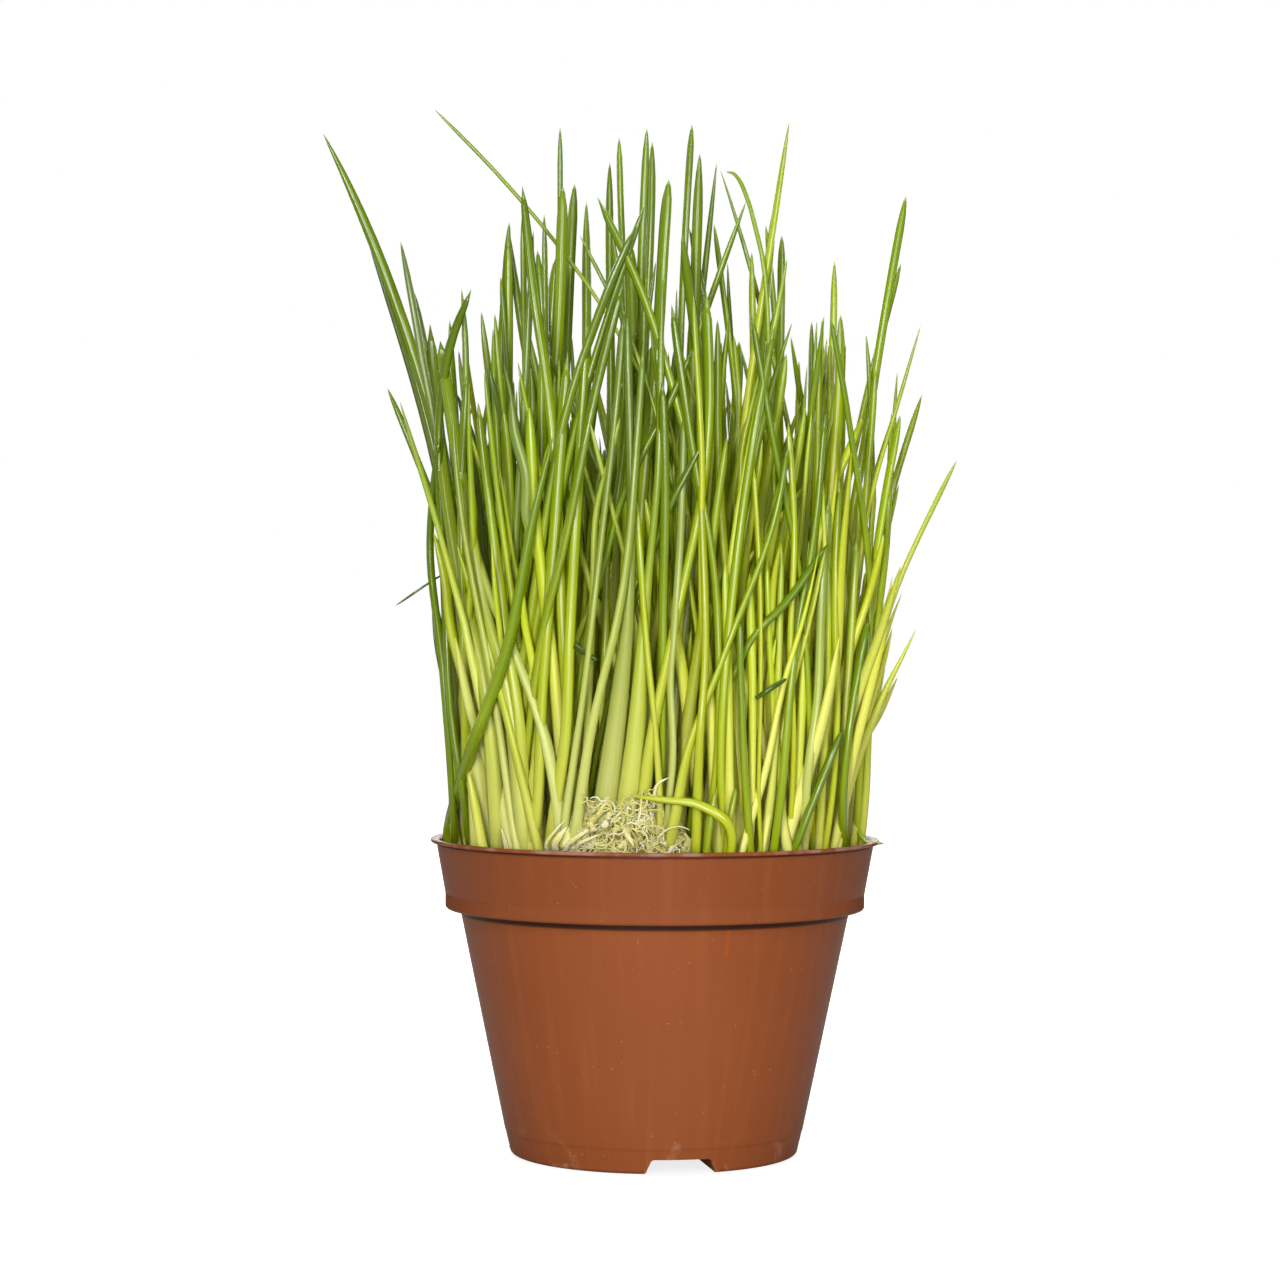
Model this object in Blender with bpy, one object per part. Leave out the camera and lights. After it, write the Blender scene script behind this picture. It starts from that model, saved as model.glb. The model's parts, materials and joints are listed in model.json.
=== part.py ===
"""Potted chives: a dense bunch of chives in a stepped plastic nursery pot full of compost.

The pot stands on its flat underside. The origin is the middle of that underside, +Z is up,
and the front, where one drain slot shows, looks towards -Y. All sizes below are millimetres.
"""
import math

import bmesh
import bpy
import numpy as np
from mathutils import Vector

MM = 0.001

# Pot: one thin wall, turned, with a collar, a flared lip and three drain slots.
LIP_RADIUS = 65.0
POT_HEIGHT = 91.0
WALL = 0.9
LIP_THICKNESS = 1.1
LIP_INNER_ROUND = 1.0
BODY_FOOT_RADIUS = 41.75
BODY_SLOPE = 0.208
FOOT_FILLET = 1.5
COLLAR_Z = 70.8
COLLAR_RADIUS = 60.7
COLLAR_STRAIGHT = 4.2
COLLAR_SLOPE = 0.183
COLLAR_EDGE = 0.9
POT_SIDES = 40

# Drain slots: low arched channels under the floor, one of them near the front.
SLOT_COUNT = 3
SLOT_TURN = 10.4
SLOT_HEIGHT = 4.2
SLOT_TOP_HALF = 8.75
SLOT_FLARE = 0.45
SLOT_CORNER = 1.2
SLOT_START = 15.0
DRAIN_RADIUS = 4.0
DRAIN_PLACE = 29.0
DRAIN_SIDES = 8

# Compost: shaped to the inside of the pot, up to a little under the lip.
GAP = 0.3
SOIL_TOP_Z = 83.4

# Tufts: five stalks on a small flat base plate, which sits in a plain hole in the compost.
# Each ring of tufts has a radius, a number, the angle of the first and the step to the next.
TUFT_RINGS = ((0.0, 1, 0.0, 60.0), (17.3, 6, -84.0, 60.0), (33.6, 12, -98.0, 30.0),
              (50.0, 15, -66.0, 21.0))
STALKS_A_TUFT = 5
STALK_OFFSET = 5.15
PLATE_SIDES = 6
PLATE_RADIUS = 7.7
PLATE_LOW_Z = 78.8
PLATE_RIM_Z = 83.2
PLATE_TOP_Z = 84.8
HOLE_RADIUS = 8.5
HOLE_LOW_Z = 78.5

# Lifted clump: a heap of bare roots at the front rim, with thick stalks growing out of its top.
HEAP_X = -9.0
HEAP_Y = -50.5
HEAP_HALF_WIDTH = 18.0
HEAP_HALF_DEPTH = 7.5
HEAP_SIDES = 12
HEAP_LOW_Z = 82.3
HEAP_TOP_Z = 105.2
HEAP_SHAPE = ((82.3, 1.0), (93.5, 0.96), (100.5, 0.8), (104.3, 0.52))
HEAP_STALK_FOOT_Z = 90.0
ROOT_STRANDS = 11
ROOT_POINTS = 5
ROOT_RADIUS = 0.9

# Stalks on the heap: foot x and y, radius, then the tip of the leaf that continues each.
HEAP_STALKS = ((-14.5, -52.0, 4.0, 6, -60, 232), (-5.0, -52.0, 4.2, 17, -62, 247),
               (-21.5, -48.3, 2.5, -27, -56, 226), (-9.5, -45.8, 2.5, -6, -52, 239),
               (1.8, -47.8, 2.6, 11, -55, 221), (6.4, -51.5, 2.3, 22, -62, 204),
               (-25.6, -52.0, 2.3, -36, -63, 212))

# A leaf that lies across the roots and hangs over the lip: the middle of it, from root to tip.
LOOSE_LEAF = ((-6.0, -53.0, 102.0), (2.0, -60.3, 105.0), (10.0, -62.6, 104.6), (16.5, -63.4, 101.6),
              (20.3, -63.2, 97.4), (20.8, -62.8, 92.2))
LOOSE_LEAF_RADIUS = 1.35

# Leaves: three-sided blades with a ring of corners at each level, from the base plates to the top.
LEVELS = np.linspace(82.0, 303.0, 10)
LEAF_FOOT_Z = 84.0
STALK_RADIUS = 2.75
STALK_END_Z = 168.0
STALK_FADE = 60.0
LEAF_RADIUS = 1.95
TIP_Z = 222.0
TIP_Z_SPREAD = 25.0
TIP_Z_RANGE = (150.0, 270.0)
EDGE_DROP = 14.0
FAN = 1.13
LEAN = 11.0
SHORTEST_TIP = 7.0
BUNCH_EDGE = 52.5
SEED = 11

# The stalks in front on the right are slimmer than the others.
SLIMMER = 0.2
SLIMMER_FROM = 5.0
SLIMMER_OVER = 20.0

# Side leaves: thinner and lower leaves that split off some of the stalks.
SIDE_LEAVES = 155
SIDE_RADIUS = 1.7
SIDE_STARTS = (1, 2, 2, 3)
SIDE_SPREAD = (9.0, 22.0)
SIDE_TIP_Z = 197.0
SIDE_TIP_Z_SPREAD = 28.0
SIDE_HIGHEST_Z = 258.0
SIDE_SHORTEST = 34.0

# Combing: how the leaves are moved apart until none touches another.
CLEARANCE = 0.4
STEPS = 420
PULL = 0.12
STIFFNESS = 0.25
PAIR_REFRESH = 15
PAIR_REACH = 6.0
RELAX = 1.5
EDGE_RADIUS = 59.5
FRONT_EDGE_RADIUS = 55.5
FRONT_DEPTH = 20.0
FRONT_HALF_WIDTH = 21.6

# The eye in front of the pot from which the leading leaves are judged.
EYE = (-4.65, -960.0, 153.3)

# Leading leaves, as seen in the plane of the pot's axis: tip x, tip z, then a lower point's x and z,
# how far back the foot and the tip stand, and how strongly the leaf arches outward.
LEADERS = (
    (-97, 295, -65, 220, -12, -16, 2.2), (-87, 274, -68, 212, 8, 14, 2.0),
    (-77, 259, -63, 212, -22, -30, 1.8),
    (-72, 251, -65, 225, 18, 26, 1.8), (-80, 221, -61, 169, -4, -6, 1.8), (-63, 302, -11, 238, -20, -30, 2.5),
    (-56, 250, -58, 220, -28, -34, 1.0), (-60, 241, -60, 204, 14, 22, 1.3), (-48, 243, -48, 212, -34, -40, 1.2),
    (-43, 258, -43, 218, -18, -22, 1.2), (-40, 273, -40, 233, 5, 2, 1.2), (-37, 246, -37, 212, -40, -46, 1.0),
    (-29, 297, -29, 247, 10, 12, 1.1), (-27, 280, -28, 247, -28, -34, 1.2), (-24, 274, -25, 247, 30, 36, 1.0),
    (-21, 276, -21, 241, -14, -12, 1.0), (-14, 287, -14, 247, 0, 4, 1.0), (-10, 294, -10, 247, 25, 30, 1.0),
    (-3, 297, -5, 247, -10, -14, 1.3), (-1, 293, -2, 247, 35, 42, 1.0), (3, 282, 1, 247, -34, -40, 1.2),
    (10, 298, 7, 247, 5, 8, 1.5), (12, 289, 10, 247, -24, -30, 1.3), (17, 287, 13, 247, 20, 24, 1.4),
    (19, 284, 30, 261, 10, 4, 2.0), (26, 276, 19, 256, -5, -8, 1.6), (38, 299, 25, 219, -30, -42, 1.8),
    (31, 274, 29, 238, 0, 0, 1.2), (32, 269, 45, 231, 30, 30, 1.5), (36, 266, 35, 230, -18, -22, 1.1),
    (72, 278, 61, 219, -8, -12, 1.8), (71, 257, 64, 231, 16, 24, 1.8), (75, 240, 68, 212, -18, -26, 1.8),
    (76, 220, 66, 152, 5, 8, 1.6), (87, 201, 70, 150, -10, -16, 2.0), (71, 161, 65, 131, 12, 16, 1.5),
    (75, 152, 59, 101, -22, -30, 1.6), (-65, 160, -59, 91, -10, -14, 1.2), (-30, 208, -60, 92, -22, -58, 1.2),
    (52, 253, 50, 218, 15, 20, 1.2), (53, 243, 53, 212, -24, -28, 1.1), (44, 241, 44, 212, 30, 36, 1.0),
    (48, 242, 47, 212, -36, -44, 1.0),
)


def clear_scene():
    """Removes whatever the file holds."""
    for thing in list(bpy.data.objects):
        bpy.data.objects.remove(thing, do_unlink=True)


def finish(name, colour, roughness):
    """A plain coloured material for one kind of part."""
    material = bpy.data.materials.new(name)
    material.use_nodes = True
    shader = material.node_tree.nodes["Principled BSDF"]
    shader.inputs["Base Color"].default_value = (*colour, 1.0)
    shader.inputs["Roughness"].default_value = roughness
    shader.inputs["Metallic"].default_value = 0.0
    return material


def solid(name, points, faces, material=None):
    """An object from points in millimetres and faces given by their corners."""
    mesh = bpy.data.meshes.new(name)
    mesh.from_pydata([tuple(MM * c for c in p) for p in points], [], faces)
    mesh.update()
    if material:
        mesh.materials.append(material)
    thing = bpy.data.objects.new(name, mesh)
    bpy.context.scene.collection.objects.link(thing)
    return thing


def ring(x, y, z, radius, sides, turn=0.0):
    """A level ring of corners round a point."""
    step = 2.0 * math.pi / sides
    angles = [turn + step * number for number in range(sides)]
    return [(x + radius * math.cos(a), y + radius * math.sin(a), z) for a in angles]


def stacked(rings):
    """Points and faces of a closed body through equal rings; a last ring of one point is a tip."""
    count = len(rings[0])
    points = [p for one in rings for p in one]
    faces = [tuple(reversed(range(count)))]
    for level in range(len(rings) - 1):
        low = level * count
        high = low + count
        for side in range(count):
            following = (side + 1) % count
            if len(rings[level + 1]) == 1:
                faces.append((low + side, low + following, high))
            else:
                faces.append((low + side, low + following, high + following, high + side))
    if len(rings[-1]) == count:
        last = (len(rings) - 1) * count
        faces.append(tuple(range(last, last + count)))
    return points, faces


def turned(name, profile, sides, material):
    """A closed body turned round the Z axis, from the rim of its flat foot to the rim of its flat end."""
    return solid(name, *stacked([ring(0.0, 0.0, z, radius, sides) for radius, z in profile]), material)


def strand(points, radius, taper):
    """Rings of a three-sided strand along a path that may run any way; its last point is a tip."""
    path = [Vector(p) for p in points]
    rings = []
    across = Vector((0.0, 0.0, 1.0))
    for number, centre in enumerate(path[:-1]):
        along = (path[number + 1] - path[max(0, number - 1)]).normalized()
        across = (across - across.dot(along) * along).normalized()
        third = along.cross(across)
        size = radius * (1.0 - taper * number / len(path))
        corners = ring(0.0, 0.0, 0.0, size, 3)
        rings.append([tuple(centre + c * across + s * third) for c, s, flat in corners])
    rings.append([tuple(path[-1])])
    return rings


def combine(target, others, operation):
    """Joins or cuts the target with a list of objects in one Boolean on a collection, then removes them."""
    group = bpy.data.collections.new("joined_parts")
    bpy.context.scene.collection.children.link(group)
    for other in others:
        bpy.context.scene.collection.objects.unlink(other)
        group.objects.link(other)
    joint = target.modifiers.new("join", "BOOLEAN")
    joint.operand_type = "COLLECTION"
    joint.collection = group
    joint.operation = operation
    joint.solver = "EXACT"
    graph = bpy.context.evaluated_depsgraph_get()
    mesh = bpy.data.meshes.new_from_object(target.evaluated_get(graph), depsgraph=graph)
    target.modifiers.remove(joint)
    old = target.data
    target.data = mesh
    bpy.data.meshes.remove(old)
    for other in others:
        bpy.data.objects.remove(other, do_unlink=True)
    bpy.data.collections.remove(group)
    fill_hollows(mesh)


def fill_hollows(mesh):
    """Takes out the closed shells that joining left inside the body, so that sealed hollows are filled."""
    body = bmesh.new()
    body.from_mesh(mesh)
    unseen = set(body.faces)
    shells = []
    while unseen:
        waiting = [unseen.pop()]
        shell = []
        while waiting:
            face = waiting.pop()
            shell.append(face)
            for edge in face.edges:
                for other in edge.link_faces:
                    if other in unseen:
                        unseen.remove(other)
                        waiting.append(other)
        shells.append(shell)
    largest = max(shells, key=len)
    doomed = [face for shell in shells if shell is not largest for face in shell]
    bmesh.ops.delete(body, geom=doomed, context="FACES")
    body.to_mesh(mesh)
    body.free()


def arc(centre_x, centre_z, radius, start, end, steps):
    """Points on a round corner of a profile, angles in degrees."""
    angles = np.radians(np.linspace(start, end, steps + 1))
    return [(centre_x + radius * math.cos(a), centre_z + radius * math.sin(a)) for a in angles]


def body_radius(z):
    """Outer radius of the pot below its collar."""
    return BODY_FOOT_RADIUS + BODY_SLOPE * z


def collar_radius(z):
    """Outer radius of the collar, straight at its foot and flared above."""
    return COLLAR_RADIUS + COLLAR_SLOPE * max(0.0, z - COLLAR_Z - COLLAR_STRAIGHT)


def pot_profile():
    """The wall's section: from the foot up the outside, over the lip and down the inside to the floor."""
    lip_middle = POT_HEIGHT - LIP_THICKNESS / 2
    flare = collar_radius(POT_HEIGHT - LIP_THICKNESS)
    straight_z = COLLAR_Z + COLLAR_STRAIGHT
    shelf = COLLAR_Z + WALL
    inner_foot_z = FOOT_FILLET + WALL
    profile = arc(body_radius(0.0) - FOOT_FILLET, FOOT_FILLET, FOOT_FILLET, -90, 0, 2)
    profile += [(body_radius(COLLAR_Z), COLLAR_Z)]
    profile += arc(COLLAR_RADIUS - COLLAR_EDGE, COLLAR_Z + COLLAR_EDGE, COLLAR_EDGE, -90, 0, 2)
    profile += [(COLLAR_RADIUS, straight_z), (flare, POT_HEIGHT - LIP_THICKNESS)]
    profile += arc(LIP_RADIUS - LIP_THICKNESS / 2, lip_middle, LIP_THICKNESS / 2, -90, 90, 2)
    profile += arc(flare - WALL + LIP_INNER_ROUND, POT_HEIGHT - LIP_INNER_ROUND, LIP_INNER_ROUND, 90, 180, 2)
    profile += [(COLLAR_RADIUS - WALL, straight_z), (COLLAR_RADIUS - WALL, shelf)]
    profile += [(body_radius(shelf) - WALL, shelf), (body_radius(inner_foot_z) - WALL, inner_foot_z)]
    profile += [(body_radius(0.0) - WALL - FOOT_FILLET, WALL)]
    return profile


def slot_angle(number):
    """The direction in which a drain slot runs out, in radians."""
    return math.radians(SLOT_TURN - 90.0 + number * 360.0 / SLOT_COUNT)


def slot_bar(name, number, grown, low, start, end):
    """A bar along one of the pot's radii, with the slot's section: a low arch with round corners, grown."""
    top = SLOT_HEIGHT + grown
    half = SLOT_TOP_HALF + grown
    corner = SLOT_CORNER + grown
    foot = half + SLOT_FLARE * (top - corner - low)
    right = arc(half - corner, top - corner, corner, 0, 90, 2)
    left = [(-x, z) for x, z in reversed(right)]
    outline = [(-foot, low), (foot, low)] + right + left
    along = (math.cos(slot_angle(number)), math.sin(slot_angle(number)))
    rings = [[(along[0] * out - along[1] * x, along[1] * out + along[0] * x, z) for x, z in outline]
             for out in (start, end)]
    return solid(name, *stacked(rings))


def make_pot():
    """The turned wall, with three raised channels under its floor that open as slots at the foot."""
    plastic = finish("terracotta_plastic", (0.33, 0.095, 0.033), 0.38)
    pot = turned("pot", pot_profile(), POT_SIDES, plastic)
    wall_inside = BODY_FOOT_RADIUS - WALL
    numbers = range(SLOT_COUNT)
    combine(pot, [slot_bar("roof", n, WALL, WALL / 2, SLOT_START - WALL, wall_inside) for n in numbers], "UNION")
    cuts = [slot_bar("slot", n, 0.0, -1.0, SLOT_START, LIP_RADIUS) for n in numbers]
    for number in numbers:
        x = DRAIN_PLACE * math.cos(slot_angle(number))
        y = DRAIN_PLACE * math.sin(slot_angle(number))
        rings = [ring(x, y, z, DRAIN_RADIUS, DRAIN_SIDES) for z in (SLOT_HEIGHT - 1.0, SLOT_HEIGHT + 2.0)]
        cuts.append(solid("drain", *stacked(rings)))
    combine(pot, cuts, "DIFFERENCE")


def tuft_places():
    """Middle of each tuft and the turn of its stalks, ring by ring from the middle out."""
    places = []
    for radius, count, first, step in TUFT_RINGS:
        for number in range(count):
            angle = math.radians(first + step * number)
            places.append((radius * math.cos(angle), radius * math.sin(angle), angle + 0.4 + 1.1 * number))
    return places


def heap_ring(z, scale):
    """A level oval ring round the middle of the root heap."""
    step = 2.0 * math.pi / HEAP_SIDES
    return [(HEAP_X + scale * HEAP_HALF_WIDTH * math.cos(step * i),
             HEAP_Y + scale * HEAP_HALF_DEPTH * math.sin(step * i), z) for i in range(HEAP_SIDES)]


def make_soil(places):
    """The compost, with a plain hole for each tuft and one for the root heap."""
    inset = WALL + GAP
    shelf = COLLAR_Z + inset
    foot_z = FOOT_FILLET + WALL
    above = SOIL_TOP_Z + 1.0
    profile = [(body_radius(inset) - inset - FOOT_FILLET, inset)]
    profile += [(body_radius(foot_z) - inset, foot_z), (body_radius(shelf) - inset, shelf)]
    profile += [(COLLAR_RADIUS - inset, shelf), (COLLAR_RADIUS - inset, COLLAR_Z + COLLAR_STRAIGHT)]
    profile += [(collar_radius(SOIL_TOP_Z) - inset, SOIL_TOP_Z)]
    soil = turned("soil", profile, POT_SIDES, finish("compost", (0.035, 0.022, 0.014), 0.95))
    cuts = [slot_bar("channel", n, inset, WALL / 2, SLOT_START - inset, LIP_RADIUS) for n in range(SLOT_COUNT)]
    for x, y, turn in places:
        rings = [ring(x, y, z, HOLE_RADIUS, PLATE_SIDES, turn) for z in (HOLE_LOW_Z, above)]
        cuts.append(solid("hole", *stacked(rings)))
    room = 1.0 + 2.0 * GAP / HEAP_HALF_DEPTH
    cuts.append(solid("pocket", *stacked([heap_ring(z, room) for z in (HEAP_LOW_Z - GAP, above)])))
    combine(soil, cuts, "DIFFERENCE")


def sight(x, z, y):
    """Moves a point judged in the plane of the pot's axis to a depth y, along the line to the eye."""
    share = (y - EYE[1]) / -EYE[1]
    return EYE[0] + (x - EYE[0]) * share, EYE[2] + (z - EYE[2]) * share


def plan_stems(places):
    """The feet of all stalks: five round each tuft, and those that grow out of the root heap."""
    leaves = []
    for tuft, (x, y, turn) in enumerate(places):
        for number in range(STALKS_A_TUFT):
            angle = turn + number * 2.0 * math.pi / STALKS_A_TUFT
            foot = (x + STALK_OFFSET * math.cos(angle), y + STALK_OFFSET * math.sin(angle))
            leaves.append({"tuft": tuft, "start": 0, "foot": foot, "turn": angle + math.pi,
                           "stalk": STALK_RADIUS})
    for x, y, radius, *tip in HEAP_STALKS:
        leaves.append({"tuft": len(places), "start": 1, "foot": (x, y), "turn": 0.5,
                       "stalk": radius, "tip": tip})
    return leaves


def plan_leaves(places):
    """One row a leaf: its tuft, parent leaf, first level, foot, tip, arch, bow and thickness.

    A main leaf continues each stalk. The leading leaves go to the stalks nearest to their own feet.
    Side leaves then split off stalks here and there. All draws are seeded.
    """
    draw = np.random.default_rng(SEED)
    leaves = plan_stems(places)
    stems = len(leaves)
    for number, leaf in enumerate(leaves):
        x, y = leaf["foot"]
        slender = 1.0 - SLIMMER * min(1.0, max(0.0, (x - SLIMMER_FROM) / SLIMMER_OVER))
        lean = draw.normal(0.0, LEAN, 2)
        height = TIP_Z + draw.normal(0.0, TIP_Z_SPREAD) - EDGE_DROP * (math.hypot(x, y) / EDGE_RADIUS) ** 2
        height = min(TIP_Z_RANGE[1], max(TIP_Z_RANGE[0], height))
        leaf["parent"] = number
        leaf.setdefault("tip", (FAN * x + lean[0], FAN * y + lean[1], height))
        leaf["arch"] = draw.uniform(0.9, 1.8)
        leaf["bow"] = draw.normal(0.0, 3.0, 2)
        leaf["radius"] = slender * LEAF_RADIUS * draw.uniform(0.88, 1.12)
        leaf["stalk"] *= slender * draw.uniform(0.9, 1.05)
    free = [n for n, leaf in enumerate(leaves) if leaf["tuft"] < len(places)]
    for tip_x, tip_z, low_x, low_z, foot_y, tip_y, arch in LEADERS:
        share = ((low_z - LEAF_FOOT_Z) / (tip_z - LEAF_FOOT_Z)) ** arch
        foot_x = (low_x - tip_x * share) / (1.0 - share)
        reach = math.sqrt(BUNCH_EDGE ** 2 - foot_y ** 2)
        foot_x = min(reach, max(-reach, foot_x))
        nearest = min(free, key=lambda n: math.dist(leaves[n]["foot"], (foot_x, foot_y)))
        free.remove(nearest)
        true_x, true_z = sight(tip_x, tip_z, tip_y)
        leaves[nearest].update(tip=(true_x, tip_y, true_z), arch=arch, bow=np.zeros(2))
    for number in draw.permutation(stems)[:SIDE_LEAVES]:
        main = leaves[number]
        start = main["start"] + int(draw.choice(SIDE_STARTS))
        angle = draw.uniform(0.0, 2.0 * math.pi)
        spread = draw.uniform(*SIDE_SPREAD)
        height = SIDE_TIP_Z + draw.normal(0.0, SIDE_TIP_Z_SPREAD)
        x, y = main["foot"]
        tip = (1.1 * x + 0.3 * (x - main["tip"][0]) + spread * math.cos(angle),
               1.1 * y + 0.3 * (y - main["tip"][1]) + spread * math.sin(angle),
               min(SIDE_HIGHEST_Z, max(LEVELS[start] + SIDE_SHORTEST, height)))
        radius = SIDE_RADIUS * draw.uniform(0.85, 1.12) * min(1.0, main["radius"] / LEAF_RADIUS)
        leaves.append({"tuft": main["tuft"], "start": start, "foot": (x, y), "turn": angle, "stalk": 0.0,
                       "parent": int(number), "tip": tip, "arch": 1.0, "bow": draw.normal(0.0, 2.0, 2),
                       "radius": radius})
    for leaf in leaves:
        x, y, z = leaf["tip"]
        beyond = z - LEVELS[np.searchsorted(LEVELS, z) - 1]
        leaf["tip"] = (x, y, z + max(0.0, SHORTEST_TIP - beyond))
    return leaves


def leaf_radius(leaf, z):
    """Half width at a height: a stalk that thins into the leaf, and the leaf's own taper to its tip."""
    foot_z = LEVELS[leaf["start"]]
    share = np.clip((z - foot_z) / (leaf["tip"][2] - foot_z), 0.0, 1.0)
    radius = leaf["radius"] * (1.0 - 0.3 * share) * np.sqrt(1.0 - share ** 5)
    if leaf["stalk"]:
        radius = radius + (leaf["stalk"] - leaf["radius"]) * np.clip((STALK_END_Z - z) / STALK_FADE, 0.0, 1.0)
    return radius


def wanted_path(leaf, foot, foot_z):
    """Where a leaf would stand alone: a power curve from its foot to its tip, with a slight bow."""
    share = np.clip((LEVELS - foot_z) / (leaf["tip"][2] - foot_z), 0.0, 1.25)
    foot = np.array(foot)
    bow = np.sin(np.pi * np.clip(share, 0.0, 1.0))
    reach = np.array(leaf["tip"][:2]) - foot
    return foot + reach * share[:, None] ** leaf["arch"] + np.outer(bow, leaf["bow"])


def offsets(place, thick, level, a, b):
    """For pairs in one stretch: the shortest offset, how far up it lies, and how much room is missing.

    Between two levels both leaves are straight, so their offset is a straight line too, and the
    point of it that is nearest to zero says where they are closest.
    """
    bottom = place[a, level] - place[b, level]
    change = place[a, level + 1] - place[b, level + 1] - bottom
    share = -(bottom * change).sum(1) / np.maximum((change ** 2).sum(1), 1e-9)
    share = np.clip(share, 0.0, 1.0)
    apart = bottom + share[:, None] * change
    distance = np.maximum(np.hypot(apart[:, 0], apart[:, 1]), 1e-6)
    short = thick[a, level] + thick[b, level] + CLEARANCE - distance
    return apart / distance[:, None], share, short


def close_pairs(place, thick, lives, start, parent):
    """For each stretch between two levels, the pairs of leaves that are near enough to meet there.

    A side leaf and its parent aren't a pair in the stretch where they part.
    """
    low, high = np.triu_indices(len(place), 1)
    kin = parent[low] == parent[high]
    parting = np.maximum(start[low], start[high])
    pairs = []
    for level in range(len(LEVELS) - 1):
        both = lives[low, level] & lives[high, level] & ~(kin & (parting == level))
        a = low[both]
        b = high[both]
        near = offsets(place, thick, level, a, b)[2] > -PAIR_REACH
        pairs.append((a[near], b[near]))
    return pairs


def push_apart(place, thick, pairs):
    """Moves each pair that is too close apart, half each way, shared between the two nearest levels."""
    push = np.zeros_like(place)
    hits = np.zeros(place.shape[:2])
    for level, (a, b) in enumerate(pairs):
        way, share, short = offsets(place, thick, level, a, b)
        hit = short > 0.0
        share = share[hit]
        way = way[hit] * (0.5 * short[hit] / ((1.0 - share) ** 2 + share ** 2))[:, None]
        for at, part in ((level, 1.0 - share), (level + 1, share)):
            for who, sign in ((a[hit], 1.0), (b[hit], -1.0)):
                np.add.at(push, (who, at), sign * way * part[:, None])
                np.add.at(hits, (who, at), part > 0.0)
    place += RELAX * push / np.maximum(hits, 1.0)[:, :, None]


def keep_inside(place, thick, rooted):
    """Holds the foot of the bunch inside the lip, and off the root heap at the front."""
    first = place[:, 1]
    outward = np.hypot(first[:, 0], first[:, 1])
    front = (first[:, 1] < HEAP_Y + FRONT_DEPTH) & (np.abs(first[:, 0] - HEAP_X) < FRONT_HALF_WIDTH)
    edge = np.where(front, FRONT_EDGE_RADIUS, EDGE_RADIUS)
    over = rooted & (outward > edge)
    place[over, 1] *= (edge[over] / outward[over])[:, None]
    reach = HEAP_HALF_WIDTH - HEAP_HALF_DEPTH
    need = HEAP_HALF_DEPTH + 2.0 * GAP + CLEARANCE + thick[:, 0]
    for shift in np.linspace(-reach, reach, 5):
        for level in (0, 1):
            away = place[:, level] - np.array((HEAP_X + shift, HEAP_Y))
            distance = np.hypot(away[:, 0], away[:, 1])
            inside = rooted & (distance < need)
            place[inside, level] += away[inside] * (need / distance - 1.0)[inside, None]


def comb(leaves):
    """Moves the leaves sideways at the levels until no two touch, and gives each leaf's points there.

    In every step a point goes a little towards its wanted place and its wanted bend, less and less as
    the steps go on, then leaves that are too close are pushed apart. Feet stay where they are, and a
    side leaf starts in the middle of its parent.
    """
    start = np.array([leaf["start"] for leaf in leaves])
    parent = np.array([leaf["parent"] for leaf in leaves])
    tip_z = np.array([leaf["tip"][2] for leaf in leaves])
    side = parent != np.arange(len(leaves))
    stem = ~side
    wanted = np.array([wanted_path(leaf, leaf["foot"], LEVELS[leaf["start"]]) for leaf in leaves])
    for number in np.nonzero(side)[0]:
        fork = wanted[parent[number], start[number]]
        wanted[number] = wanted_path(leaves[number], fork, LEVELS[start[number]])
    radii = np.array([leaf_radius(leaf, LEVELS) for leaf in leaves])
    thick = np.maximum(radii[:, :-1], radii[:, 1:])
    lives = (LEVELS[None, :-1] < tip_z[:, None]) & (np.arange(len(LEVELS) - 1)[None, :] >= start[:, None])
    wish = wanted[:, :-2] - 2.0 * wanted[:, 1:-1] + wanted[:, 2:]
    place = wanted.copy()
    for step in range(STEPS):
        place += PULL * max(0.0, 1.0 - 1.25 * step / STEPS) * (wanted - place)
        bend = place[:, :-2] - 2.0 * place[:, 1:-1] + place[:, 2:]
        place[:, 1:-1] += STIFFNESS * max(0.0, 1.0 - 1.1 * step / STEPS) * (bend - wish)
        place[stem, start[stem]] = wanted[stem, start[stem]]
        place[side, start[side]] = place[parent[side], start[side]]
        if step % PAIR_REFRESH == 0:
            pairs = close_pairs(place, thick, lives, start, parent)
        push_apart(place, thick, pairs)
        keep_inside(place, thick, start == 0)
        place[stem, start[stem]] = wanted[stem, start[stem]]
        place[side, start[side]] = place[parent[side], start[side]]
    return place


def blade(leaf, path, leaves):
    """A three-sided blade through the leaf's points, pointed at its tip and sunk into what it grows from."""
    start = leaf["start"]
    tip_z = leaf["tip"][2]
    above = int(np.searchsorted(LEVELS, tip_z))
    radii = leaf_radius(leaf, LEVELS)
    if not leaf["stalk"]:
        radii[start] = 0.45 * leaf_radius(leaves[leaf["parent"]], LEVELS[start])
    rings = [ring(*path[level], LEVELS[level], radii[level], 3, leaf["turn"]) for level in range(start, above)]
    if leaf["stalk"] and start == 1:
        rings.insert(0, ring(*path[start], HEAP_STALK_FOOT_Z, radii[start], 3, leaf["turn"]))
    share = (tip_z - LEVELS[above - 1]) / (LEVELS[above] - LEVELS[above - 1])
    tip = path[above - 1] + share * (path[above] - path[above - 1])
    rings.append([(tip[0], tip[1], tip_z)])
    return solid("blade", *stacked(rings))


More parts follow.
